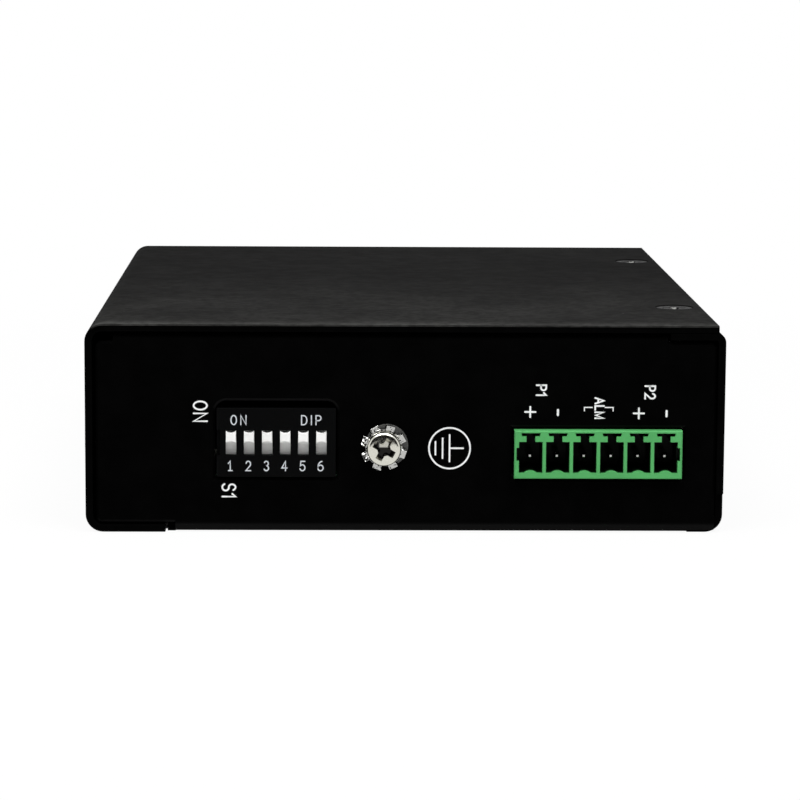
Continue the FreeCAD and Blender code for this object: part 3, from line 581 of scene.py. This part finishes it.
def build_round_shading():
    """Geometry group that shades a turned piece round and keeps its sharp corners."""
    tree = bpy.data.node_groups.new("Round shading", 'GeometryNodeTree')
    for in_out in ('INPUT', 'OUTPUT'):
        tree.interface.new_socket("Geometry", in_out=in_out, socket_type='NodeSocketGeometry')
    weld = tree.nodes.new('GeometryNodeMergeByDistance')
    weld.inputs["Distance"].default_value = WELD_DISTANCE
    clear = tree.nodes.new('GeometryNodeRemoveAttribute')
    clear.inputs["Name"].default_value = "custom_normal"
    faces = tree.nodes.new('GeometryNodeSetShadeSmooth')
    edges = tree.nodes.new('GeometryNodeSetShadeSmooth')
    edges.domain = 'EDGE'
    blunt = tree.nodes.new('FunctionNodeCompare')
    blunt.operation = 'LESS_THAN'
    blunt.inputs["B"].default_value = ROUND_ANGLE
    angle = tree.nodes.new('GeometryNodeInputMeshEdgeAngle')
    tree.links.new(angle.outputs["Unsigned Angle"], blunt.inputs["A"])
    tree.links.new(blunt.outputs["Result"], edges.inputs["Shade Smooth"])
    enter, leave = tree.nodes.new('NodeGroupInput'), tree.nodes.new('NodeGroupOutput')
    chain = [enter, weld, clear, faces, edges, leave]
    for before, after in zip(chain, chain[1:]):
        tree.links.new(before.outputs["Geometry"], after.inputs["Geometry"])


def shade_round(node):
    """Shades the turned faces of a frame node as one round surface."""
    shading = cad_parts[node].modifiers.new("round shading", 'NODES')
    shading.node_group = bpy.data.node_groups["Round shading"]


def add_object(name, data):
    """New object in the scene."""
    made = bpy.data.objects.new(name, data)
    bpy.context.collection.objects.link(made)
    return made


def add_mesh(name, work):
    """New object in the scene from a finished work mesh, which is freed."""
    mesh = bpy.data.meshes.new(name)
    work.to_mesh(mesh)
    work.free()
    return add_object(name, mesh)


def link_piece(name, work, material, body="housing"):
    """New piece in the scene that rides on a body."""
    piece = add_mesh(name, work)
    piece.data.materials.append(material)
    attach(piece, body)


class Face:
    """Plane for printed marks: a point, the reading and upward directions, and the print's depth."""

    def __init__(self, point, across, up, depth):
        self.point, self.across, self.up = Vector(point), Vector(across), Vector(up)
        self.outward = self.across.cross(self.up)
        self.depth = depth

    def place(self, run, rise, height):
        """Point above the plane by a share of the print's depth."""
        return self.point + self.across * run + self.up * rise + self.outward * (height * self.depth)


# Faces that carry marks: a point, the direction of reading and the letters' upward one. The end wall lies
# a little behind the base's edge. The port wall's marks are upright when the switch hangs on its rail.
END_RECESS = 0.3 * MM
END_FACE = ((0.0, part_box("base")[0].y + END_RECESS, 0.0), (0, 0, -1), (1, 0, 0))
OPTION_FACE = ((0.0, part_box("switch_housing")[0].y, 0.0), (1, 0, 0), (0, 0, 1))
PORT_FACE = ((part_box("cover")[0].x, 0.0, 0.0), (0, 0, -1), (0, -1, 0))


def arc(centre, radii, start, stop, steps=12):
    """Points along a stretch of an ellipse, between two angles in degrees."""
    turns = [math.radians(start + (stop - start) * step / steps) for step in range(steps + 1)]
    return [(centre[0] + radii[0] * math.cos(turn), centre[1] + radii[1] * math.sin(turn))
            for turn in turns]


# Strokes of each letter and digit, one unit tall from its foot at zero
STROKES = {
    "O": [arc((0.33, 0.5), (0.33, 0.5), 90, 450, 24)],
    "N": [[(0, 0), (0, 1), (0.62, 0), (0.62, 1)]],
    "D": [[(0, 0), (0, 1)] + arc((0.24, 0.5), (0.36, 0.5), 90, -90, 16) + [(0, 0)]],
    "I": [[(0, 0), (0, 1)]],
    "P": [[(0, 0), (0, 1)] + arc((0.3, 0.73), (0.27, 0.27), 90, -90) + [(0, 0.46)]],
    "S": [arc((0.3, 0.745), (0.27, 0.255), 20, 270) + arc((0.3, 0.255), (0.3, 0.255), 75, -160)],
    "A": [[(0, 0), (0.36, 1), (0.72, 0)], [(0.13, 0.34), (0.59, 0.34)]],
    "L": [[(0, 1), (0, 0), (0.5, 0)]],
    "M": [[(0, 0), (0, 1), (0.38, 0.06), (0.76, 1), (0.76, 0)]],
    "1": [[(0, 0.76), (0.25, 1), (0.25, 0)]],
    "2": [arc((0.3, 0.7), (0.28, 0.3), 165, -35) + [(0, 0), (0.6, 0)]],
    "3": [arc((0.28, 0.755), (0.25, 0.245), 155, -75) + arc((0.28, 0.26), (0.29, 0.26), 75, -160)],
    "4": [[(0.45, 0), (0.45, 1), (0, 0.29), (0.64, 0.29)]],
    "5": [[(0.54, 1), (0.1, 1), (0.04, 0.52)] + arc((0.27, 0.32), (0.29, 0.32), 115, -160)],
    "6": [arc((0.52, 0.34), (0.51, 0.66), 98, 180) + arc((0.295, 0.3), (0.285, 0.3), 180, 540, 20)],
}
# Foot under the digit 1, and gaps between letters, in the same unit
FOOT_SERIF = [(0.02, 0.0), (0.5, 0.0)]
LETTER_GAP = 0.3
WIDE_GAP = 0.52

# Films start just inside the wall, and each lies just over the one before, in shares of the depth
FILM_FOOT = -0.5
FILM_TOP = 1.0
FILM_STEP = 0.2
JOIN_DISTANCE = 0.00001 * MM
# Steps of a line's rounded end, and the limit that keeps sharp corners from reaching out far
ROUND_END_STEPS = 5
LEAST_MITRE = 0.5

# Marks on the option switch in millimetres: words from left to right along X, and their heights along Z
OPTION_WORDS = {"on": ("ON", -24.60, -22.32), "dip": ("DIP", -14.69, -11.80)}
OPTION_WORD_Z = (15.26, 16.72)
DIGIT_WIDTHS = {1: 0.70, 2: 0.83, 3: 0.79, 4: 0.90, 5: 0.86, 6: 0.91}
DIGIT_Z = (8.71, 10.22)
DIGIT_SHIFT = -0.11

# Words on the end wall in millimetres: left and right along X, bottom and top along Z
END_WORDS = {
    "mark_on": ("ON", -29.88, -27.76, 15.66, 18.72),
    "mark_s1": ("S1", -25.88, -23.78, 4.92, 6.95),
    "mark_p1": ("P1", 18.28, 19.88, 19.50, 21.16),
    "mark_p2": ("P2", 33.58, 35.23, 19.03, 21.08),
    "mark_alm": ("ALM", 26.57, 28.04, 16.24, 19.37),
}
# Signs on the end wall in millimetres: middles as X and Z, half lengths, and widths in symbol strokes
PLUS_SIGNS = ((17.55, 17.23), (32.86, 17.07))
PLUS_HALF = 0.73
PLUS_STROKE = 1.1
MINUS_SIGNS = ((21.45, 17.17), (36.78, 17.04))
MINUS_HALF = 0.36
MINUS_STROKE = 1.3
# Bracket beside the alarm's name: inner and outer ends along X, and the heights of its bar and feet
CONTACT_HALVES = {"left": (26.26, 25.17), "right": (28.09, 29.22)}
CONTACT_BAR_Z = 17.9
CONTACT_FOOT_Z = 17.4
CONTACT_STROKE = 0.65
# Earth sign: middle and radius of its ring, place and half length of each bar, and the end of its stem
EARTH_X = 6.23
EARTH_Z = 12.03
EARTH_RADIUS = 2.9
EARTH_BARS = ((6.23, 1.9), (5.25, 1.41), (4.24, 0.92))
EARTH_STEM_X = 8.13
EARTH_RING_STEPS = 64

# Marks on the port wall in metres
PORT_NUMBER_GAP = 2.6 * MM
PORT_NUMBER_HALF = 0.9 * MM
PORT_DIGIT_HALF = 0.6 * MM
PORT_ONE_HALF = 0.35 * MM
LAMP_NAMES = ("P1", "P2", "ALM")
LAMP_NAME_GAP = 1.2 * MM
LAMP_NAME_HALF = 0.8 * MM
LAMP_LETTER = 1.05 * MM


def text_strokes(text, gap, foot_serif):
    """Strokes of a text in a row with a gap between the letters, and a serif under each 1 if asked."""
    strokes, pen = [], 0.0
    for letter in text:
        serif = [FOOT_SERIF] if foot_serif and letter == "1" else []
        drawn = STROKES[letter] + serif
        strokes += [[(x + pen, y) for x, y in stroke] for stroke in drawn]
        pen += max(x for stroke in drawn for x, _ in stroke) + gap
    return strokes


def fit_strokes(strokes, low, high, width):
    """Strokes stretched so that their ink fills a box."""
    xs = [x for stroke in strokes for x, _ in stroke]
    ys = [y for stroke in strokes for _, y in stroke]
    half = width / 2

    def fit(value, first, last, start, stop):
        if last == first:
            return (start + stop) / 2
        return start + half + (value - first) / (last - first) * (stop - start - width)

    return [[(fit(x, min(xs), max(xs), low[0], high[0]), fit(y, min(ys), max(ys), low[1], high[1]))
             for x, y in stroke] for stroke in strokes]


def is_ring(points):
    """Whether a line ends where it starts."""
    return (Vector(points[0]) - Vector(points[-1])).length < JOIN_DISTANCE


def left_of(run):
    """Direction to the left of another."""
    return Vector((-run.y, run.x))


def round_end(spot, run, side, half):
    """Points on one side of a rounded end, from beside the line's end to its tip."""
    turns = [math.pi / 2 * step / ROUND_END_STEPS for step in range(1, ROUND_END_STEPS)]
    return [spot + run * (half * math.sin(turn)) + side * (half * math.cos(turn)) for turn in turns]


def stroke_sides(points, width):
    """Left and right edges of an even line, with rounded ends unless it is a ring."""
    spots = [Vector(point) for point in points]
    runs = [(after - before).normalized() for before, after in zip(spots, spots[1:])]
    closed = is_ring(points)
    first, last = (runs[-1], runs[0]) if closed else (runs[0], runs[-1])
    half = width / 2
    left, right = [], []
    for spot, before, after in zip(spots, [first] + runs, runs + [last]):
        side = left_of((before + after).normalized())
        reach = half / max(LEAST_MITRE, side.dot(left_of(after)))
        left.append(spot + side * reach)
        right.append(spot - side * reach)
    if not closed:
        for edge, sign in ((left, 1), (right, -1)):
            edge[:0] = reversed(round_end(spots[0], -first, left_of(first) * sign, half))
            edge += round_end(spots[-1], last, left_of(last) * sign, half)
    return left, right


def print_strokes(name, strokes, width, face, ink):
    """Prints lines of an even width as one mark; each line is a thin film laid over the one before."""
    work = bmesh.new()
    for layer, points in enumerate(strokes):
        heights = (FILM_FOOT, FILM_TOP + FILM_STEP * layer)
        left, right = [
            [[work.verts.new(face.place(spot.x, spot.y, height)) for height in heights] for spot in edge]
            for edge in stroke_sides(points, width)]
        last = len(left) - 1
        for index in range(last):
            a, b, c, d = left[index], left[index + 1], right[index + 1], right[index]
            work.faces.new([a[1], d[1], c[1], b[1]])
            work.faces.new([a[0], b[0], c[0], d[0]])
            work.faces.new([a[0], a[1], b[1], b[0]])
            work.faces.new([d[0], c[0], c[1], d[1]])
        if not is_ring(points):
            for index in (0, last):
                work.faces.new([left[index][0], right[index][0], right[index][1], left[index][1]])
    bmesh.ops.remove_doubles(work, verts=work.verts, dist=JOIN_DISTANCE)
    bmesh.ops.recalc_face_normals(work, faces=work.faces)
    link_piece(name, work, ink)


def print_text(name, text, face, low, high, width, ink, gap=LETTER_GAP, foot_serif=False):
    """Prints a text so that it fills a box on a face, given as its low and high corners."""
    strokes = fit_strokes(text_strokes(text, gap, foot_serif), low, high, width)
    print_strokes(name, strokes, width, face, ink)


def end_point(x, z):
    """Point on the end wall's face, from its place in millimetres along X and Z."""
    return -z * MM, x * MM


def end_bar(x, z, half):
    """Upright bar on the end wall's face, from its middle and half length in millimetres."""
    return [end_point(x, z + half), end_point(x, z - half)]


class SWITCH_OT_shared_effects(bpy.types.Operator):
    """Build the shader groups that the finishes share"""

    bl_idname = "rail_switch.shared_effects"
    bl_label = "Shared effects"

    def execute(self, context):
        build_grain_group()
        build_wear_group()
        build_dust_group()
        build_scratch_group()
        build_round_shading()
        return {'FINISHED'}


class SWITCH_OT_housing(bpy.types.Operator):
    """Coat the cover and the base"""

    bl_idname = "rail_switch.housing"
    bl_label = "Housing"

    def execute(self, context):
        finish, _, _ = settings(context)
        dress(powder_coat(finish), "cover", "base")
        return {'FINISHED'}


class SWITCH_OT_fasteners(bpy.types.Operator):
    """Plate the screws, the washers, the nuts and the standoffs"""

    bl_idname = "rail_switch.fasteners"
    bl_label = "Fasteners"

    def execute(self, context):
        finish, detail, _ = settings(context)
        edge = detail.stamped_round
        dress(cover_screw_zinc(finish), "cover_screws_upper", "cover_screws_lower", edge=edge)
        dress(screw_nickel(finish), "earth_screw")
        shade_round("earth_screw")
        nickel = plated("nickel_plate", finish.nickel, roughness=0.2, spacing=0.06 * MM)
        dress(nickel, "earth_nut", "clip_nuts", "board_standoffs", "board_screws")
        dress(stamped_zinc(finish), "earth_lock_washer", edge=edge)
        dull_colour = scaled(finish.washer_zinc, 0.22)
        dull_zinc = plated("dull_zinc", dull_colour, roughness=0.5, spacing=0.05 * MM)
        dress(dull_zinc, "earth_plain_washer", edge=edge)
        return {'FINISHED'}


class SWITCH_OT_terminal_header(bpy.types.Operator):
    """Mould the keyed terminal header and tin its pins and the option switch's leads"""

    bl_idname = "rail_switch.terminal_header"
    bl_label = "Terminal header"

    def execute(self, context):
        finish, detail, _ = settings(context)
        dress(header_moulding(finish), "terminal_header", edge=detail.moulded_round)
        tin = plated("tin_plate", finish.tin, roughness=0.22, spacing=0.05 * MM)
        dress(tin, "terminal_pins", "switch_leads", edge=detail.stamped_round)
        return {'FINISHED'}


class SWITCH_OT_option_switch(bpy.types.Operator):
    """Mould the option switch and its sliders and print its marks"""

    bl_idname = "rail_switch.option_switch"
    bl_label = "Option switch"

    def execute(self, context):
        finish, detail, _ = settings(context)
        black = moulded("option_black", finish.moulded_black, roughness=0.45, grain_size=0.25 * MM,
                        specular=0.03)
        white = moulded("slider_white", finish.slider_white, roughness=0.38, grain_size=0.3 * MM)
        ink = printed("option_print", finish.option_print)
        dress(black, "switch_housing", "switch_base", edge=detail.moulded_round)
        face = Face(*OPTION_FACE, detail.print_thickness)
        stroke = detail.option_stroke
        bottom, top = OPTION_WORD_Z
        for name, (word, left, right) in OPTION_WORDS.items():
            corners = (left * MM, bottom * MM), (right * MM, top * MM)
            print_text("option_mark_" + name, word, face, *corners, stroke, ink, gap=WIDE_GAP)
        bottom, top = DIGIT_Z
        for number in SLIDER_NUMBERS:
            node, name = "slider_%d" % number, "option_number_%d" % number
            dress(white, node, edge=detail.moulded_round)
            low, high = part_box(node)
            middle = (low.x + high.x) / 2 + DIGIT_SHIFT * MM
            half = DIGIT_WIDTHS[number] / 2 * MM
            corners = (middle - half, bottom * MM), (middle + half, top * MM)
            print_text(name, str(number), face, *corners, stroke, ink, foot_serif=True)
        return {'FINISHED'}


class SWITCH_OT_sockets(bpy.types.Operator):
    """Finish the network sockets and the lamps beside them"""

    bl_idname = "rail_switch.sockets"
    bl_label = "Sockets and lamps"

    def execute(self, context):
        finish, detail, _ = settings(context)
        foil = plated("shield_foil", finish.shield_steel, roughness=0.3, spacing=0.04 * MM)
        black = moulded("insert_black", finish.moulded_black, roughness=0.45, grain_size=0.25 * MM,
                        specular=0.35)
        gold = plated("contact_gold", finish.gold, roughness=0.2, spacing=0.05 * MM)
        for number in PORT_NUMBERS:
            dress(foil, "port_%d_shield" % number, edge=detail.stamped_round)
            dress(black, "port_%d_insert" % number, edge=detail.moulded_round)
            dress(gold, "port_%d_contacts" % number)
        dress(clouded_lens("green_lens", finish.lamp_green), "port_lenses_front")
        dress(clouded_lens("amber_lens", finish.lamp_amber), "port_lenses_rear")
        dress(clouded_lens("clear_lens", finish.lamp_clear), "status_lamps", edge=detail.moulded_round)
        dress(black, "status_lamp_holders")
        return {'FINISHED'}


class SWITCH_OT_board(bpy.types.Operator):
    """Finish the board and the components on it"""

    bl_idname = "rail_switch.board"
    bl_label = "Board"

    def execute(self, context):
        finish, _, _ = settings(context)
        dress(solder_mask(finish), "main_board")
        epoxy_black = scaled(finish.moulded_black, 2.0)
        epoxy = moulded("component_epoxy", epoxy_black, roughness=0.55, grain_size=0.15 * MM)
        dress(epoxy, "line_transformers", "network_chip", "alarm_relay", "supply_fuse", "surge_diodes",
              "supply_choke", "supply_chip")
        can = plated("component_can", finish.shield_steel, roughness=0.3, spacing=0.06 * MM)
        dress(can, "crystal", "supply_capacitors")
        return {'FINISHED'}


class SWITCH_OT_printed_marks(bpy.types.Operator):
    """Print the marks on the end wall and the port wall"""

    bl_idname = "rail_switch.printed_marks"
    bl_label = "Printed marks"

    def execute(self, context):
        finish, detail, _ = settings(context)
        ink = printed("housing_print", finish.print_white)
        face = Face(*END_FACE, detail.print_thickness)
        for name, (text, left, right, bottom, top) in END_WORDS.items():
            corners = end_point(left, top), end_point(right, bottom)
            print_text(name, text, face, *corners, detail.letter_stroke, ink)
        self.print_signs(face, detail.symbol_stroke, ink)
        self.print_earth(face, detail.symbol_stroke, ink)
        self.print_port_numbers(Face(*PORT_FACE, detail.print_thickness), detail.letter_stroke, ink)
        return {'FINISHED'}

    def print_signs(self, face, stroke, ink):
        """Plus and minus beside each supply, and the bracket beside the alarm's name."""
        for number, (x, z) in enumerate(PLUS_SIGNS, start=1):
            level = [end_point(x - PLUS_HALF, z), end_point(x + PLUS_HALF, z)]
            lines = [end_bar(x, z, PLUS_HALF), level]
            print_strokes("mark_plus_%d" % number, lines, stroke * PLUS_STROKE, face, ink)
        for number, (x, z) in enumerate(MINUS_SIGNS, start=1):
            lines = [end_bar(x, z, MINUS_HALF)]
            print_strokes("mark_minus_%d" % number, lines, stroke * MINUS_STROKE, face, ink)
        for name, (inner, outer) in CONTACT_HALVES.items():
            bar = [end_point(x, CONTACT_BAR_Z) for x in (inner, outer)]
            lines = [bar + [end_point(outer, CONTACT_FOOT_Z)]]
            print_strokes("mark_contact_" + name, lines, stroke * CONTACT_STROKE, face, ink)

    def print_earth(self, face, stroke, ink):
        """Earth sign in its ring."""
        middle, radius = end_point(EARTH_X, EARTH_Z), EARTH_RADIUS * MM
        lines = [arc(middle, (radius, radius), 0, 360, EARTH_RING_STEPS)]
        lines += [end_bar(x, EARTH_Z, half) for x, half in EARTH_BARS]
        lines.append([middle, end_point(EARTH_STEM_X, EARTH_Z)])
        print_strokes("mark_earth", lines, stroke, face, ink)

    def print_port_numbers(self, face, stroke, ink):
        """Numbers beside the sockets and names beside the status lamps, on the port wall."""
        for number in PORT_NUMBERS:
            low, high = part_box("port_%d_shield" % number)
            middle = -(low.y + high.y) / 2
            half = PORT_ONE_HALF if number == 1 else PORT_DIGIT_HALF
            run = -(high.z + PORT_NUMBER_GAP)
            corners = (run - half, middle - PORT_NUMBER_HALF), (run + half, middle + PORT_NUMBER_HALF)
            print_text("port_number_%d" % number, str(number), face, *corners, stroke, ink)
        low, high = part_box("status_lamps")
        lamp_half = (high.z - low.z) / 2
        first, last = low.y + lamp_half, high.y - lamp_half
        stop = -(high.z + LAMP_NAME_GAP)
        for index, text in enumerate(LAMP_NAMES):
            middle = -(first + (last - first) * index / (len(LAMP_NAMES) - 1))
            start = stop - LAMP_LETTER * len(text)
            corners = (start, middle - LAMP_NAME_HALF), (stop, middle + LAMP_NAME_HALF)
            print_text("lamp_name_%d" % (index + 1), text, face, *corners, stroke, ink)


# The floor lies just under the switch, and the camera sees it dark below the switch, in from the edges
FLOOR_DROP = 0.05 * MM
UNDER_INSET = 3 * MM
PAPER_WHITE = (0.82, 0.82, 0.82, 1.0)
# Point that the lamps look at, and the place and size of each, in metres
LAMP_AIM = Vector((0.0, 0.0, 0.015))
LAMPS = {
    "overhead": ((0.0, -0.15, 0.9), 0.9),
    "front_left": ((-0.35, -0.5, 0.95), 0.5),
    "front_right": ((0.35, -0.5, 0.95), 0.5),
}


def flat_sheet(name, half):
    """Square sheet of a given half width, for the studio."""
    work = bmesh.new()
    bmesh.ops.create_grid(work, x_segments=1, y_segments=1, size=half)
    return add_mesh(name, work)


class SWITCH_OT_studio(bpy.types.Operator):
    """Set up the floor, the lamps, the dark card and the camera"""

    bl_idname = "rail_switch.studio"
    bl_label = "Studio"

    def execute(self, context):
        _, _, stage = settings(context)
        self.lay_floor(stage)
        self.light_world(context.scene, stage)
        self.hang_lamps(stage)
        self.stand_card(stage)
        self.set_camera(context.scene, stage)
        context.scene.view_settings.view_transform = 'Standard'
        return {'FINISHED'}

    def seen_by_eye(self, tree, in_view=None):
        """Share of rays that come from the camera, where it is in view, a reflection or glass."""
        path = tree.nodes.new('ShaderNodeLightPath').outputs
        direct = path["Is Camera Ray"]
        if in_view:
            direct = add_math(tree, 'MULTIPLY', direct, in_view)
        seen = add_math(tree, 'MAXIMUM', direct, path["Is Glossy Ray"])
        return add_math(tree, 'MAXIMUM', seen, path["Is Transmission Ray"])

    def beside_switch(self, tree):
        """Nothing below the switch and one beside it."""
        low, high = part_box("cover")
        place = object_place(tree)
        across = add_math(tree, 'ABSOLUTE', part_of(tree, place, "X"))
        along = add_math(tree, 'ABSOLUTE', part_of(tree, place, "Y"))
        return add_math(tree, 'MAXIMUM', add_math(tree, 'GREATER_THAN', across, -low.x - UNDER_INSET),
                        add_math(tree, 'GREATER_THAN', along, high.y - UNDER_INSET))

    def lay_floor(self, stage):
        """White floor that keeps a faint shadow."""
        floor = flat_sheet("floor", stage.floor_half)
        floor.location.z = -FLOOR_DROP
        white = bpy.data.materials.new("floor_white")
        white.use_nodes = True
        tree = white.node_tree
        tree.nodes.clear()
        paper = tree.nodes.new('ShaderNodeBsdfDiffuse')
        paper.inputs["Color"].default_value = PAPER_WHITE
        glow = tree.nodes.new('ShaderNodeEmission')
        mix = tree.nodes.new('ShaderNodeMixShader')
        away = tree.nodes.new('ShaderNodeVectorMath')
        away.operation = 'LENGTH'
        tree.links.new(object_place(tree), away.inputs[0])
        reach = stage.shadow_reach
        glow_share = add_range(tree, away.outputs["Value"], reach / 2, reach, stage.floor_glow)
        share = add_math(tree, 'MULTIPLY', self.seen_by_eye(tree, self.beside_switch(tree)), glow_share)
        tree.links.new(share, mix.inputs["Fac"])
        tree.links.new(paper.outputs[0], mix.inputs[1])
        tree.links.new(glow.outputs[0], mix.inputs[2])
        out = tree.nodes.new('ShaderNodeOutputMaterial')
        tree.links.new(mix.outputs[0], out.inputs["Surface"])
        floor.data.materials.append(white)

    def light_world(self, scene, stage):
        """White surroundings to look at, with a weaker even light from them."""
        scene.world = bpy.data.worlds.new("studio")
        scene.world.use_nodes = True
        tree = scene.world.node_tree
        background = tree.nodes["Background"]
        background.inputs["Color"].default_value = (1.0, 1.0, 1.0, 1.0)
        strength = add_range(tree, self.seen_by_eye(tree), 0.0, 1.0, stage.ambient, 1.0)
        tree.links.new(strength, background.inputs["Strength"])

    def hang_lamps(self, stage):
        """Soft square lamps above and to both sides of the camera, all aimed at the switch."""
        for name, (place, size) in LAMPS.items():
            lamp = bpy.data.lights.new(name, 'AREA')
            lamp.energy = stage.overhead_power if name == "overhead" else stage.front_power
            lamp.size = size
            holder = add_object(name, lamp)
            holder.location = place
            holder.rotation_euler = (LAMP_AIM - Vector(place)).to_track_quat('-Z', 'Y').to_euler()

    def stand_card(self, stage):
        """Dark card behind the camera, which sees it only in reflections."""
        card = flat_sheet("dark_card", half=0.5)
        card.scale = (2 * stage.card_distance, stage.card_height, 1.0)
        card.rotation_euler.x = math.pi / 2
        card.location = (0.0, -stage.card_distance, stage.card_height / 2)
        card.visible_camera = False
        black = new_finish("card_black", (0.01, 0.01, 0.01), roughness=0.9, specular=0.0)
        card.data.materials.append(black)

    def set_camera(self, scene, stage):
        """Camera at the photograph's viewing angle."""
        camera = bpy.data.cameras.new("camera")
        camera.sensor_width = stage.sensor
        camera.lens = stage.focal_length
        camera.clip_start = 0.01
        holder = add_object("camera", camera)
        turn = Matrix.Rotation(stage.camera_yaw, 4, 'Z')
        tilt = Matrix.Rotation(math.pi / 2 - stage.camera_pitch, 4, 'X')
        roll = Matrix.Rotation(-stage.camera_roll, 4, 'Z')
        holder.matrix_world = Matrix.Translation(stage.camera_place) @ turn @ tilt @ roll
        scene.camera = holder


class SWITCH_PT_sidebar(bpy.types.Panel):
    """Steps and settings of the switch"""

    bl_idname = "SWITCH_PT_sidebar"
    bl_label = "Rail network switch"
    bl_space_type = 'VIEW_3D'
    bl_region_type = 'UI'
    bl_category = "Switch"

    def draw(self, context):
        for step in STEPS:
            self.layout.operator(step.bl_idname)
        for group in settings(context):
            box = self.layout.box()
            for name in group.bl_rna.properties.keys():
                if name not in {"rna_type", "name"}:
                    box.prop(group, name)


GROUPS = {"switch_finish": SwitchFinish, "switch_detail": SwitchDetail, "switch_stage": SwitchStage}
STEPS = (
    SWITCH_OT_shared_effects, SWITCH_OT_housing, SWITCH_OT_fasteners, SWITCH_OT_terminal_header,
    SWITCH_OT_option_switch, SWITCH_OT_sockets, SWITCH_OT_board, SWITCH_OT_printed_marks,
    SWITCH_OT_studio,
)


def register():
    """Adds the settings, the operators and the panel."""
    for name, group in GROUPS.items():
        bpy.utils.register_class(group)
        setattr(bpy.types.Scene, name, PointerProperty(type=group))
    for step in STEPS:
        bpy.utils.register_class(step)
    bpy.utils.register_class(SWITCH_PT_sidebar)


def unregister():
    """Takes the panel, the operators and the settings away again."""
    bpy.utils.unregister_class(SWITCH_PT_sidebar)
    for step in reversed(STEPS):
        bpy.utils.unregister_class(step)
    for name, group in reversed(GROUPS.items()):
        delattr(bpy.types.Scene, name)
        bpy.utils.unregister_class(group)


def main():
    """Builds the dressed switch in its studio."""
    register()
    bpy.ops.rail_switch.shared_effects()
    bpy.ops.rail_switch.housing()
    bpy.ops.rail_switch.fasteners()
    bpy.ops.rail_switch.terminal_header()
    bpy.ops.rail_switch.option_switch()
    bpy.ops.rail_switch.sockets()
    bpy.ops.rail_switch.board()
    bpy.ops.rail_switch.printed_marks()
    bpy.ops.rail_switch.studio()


if __name__ == "__main__":
    main()
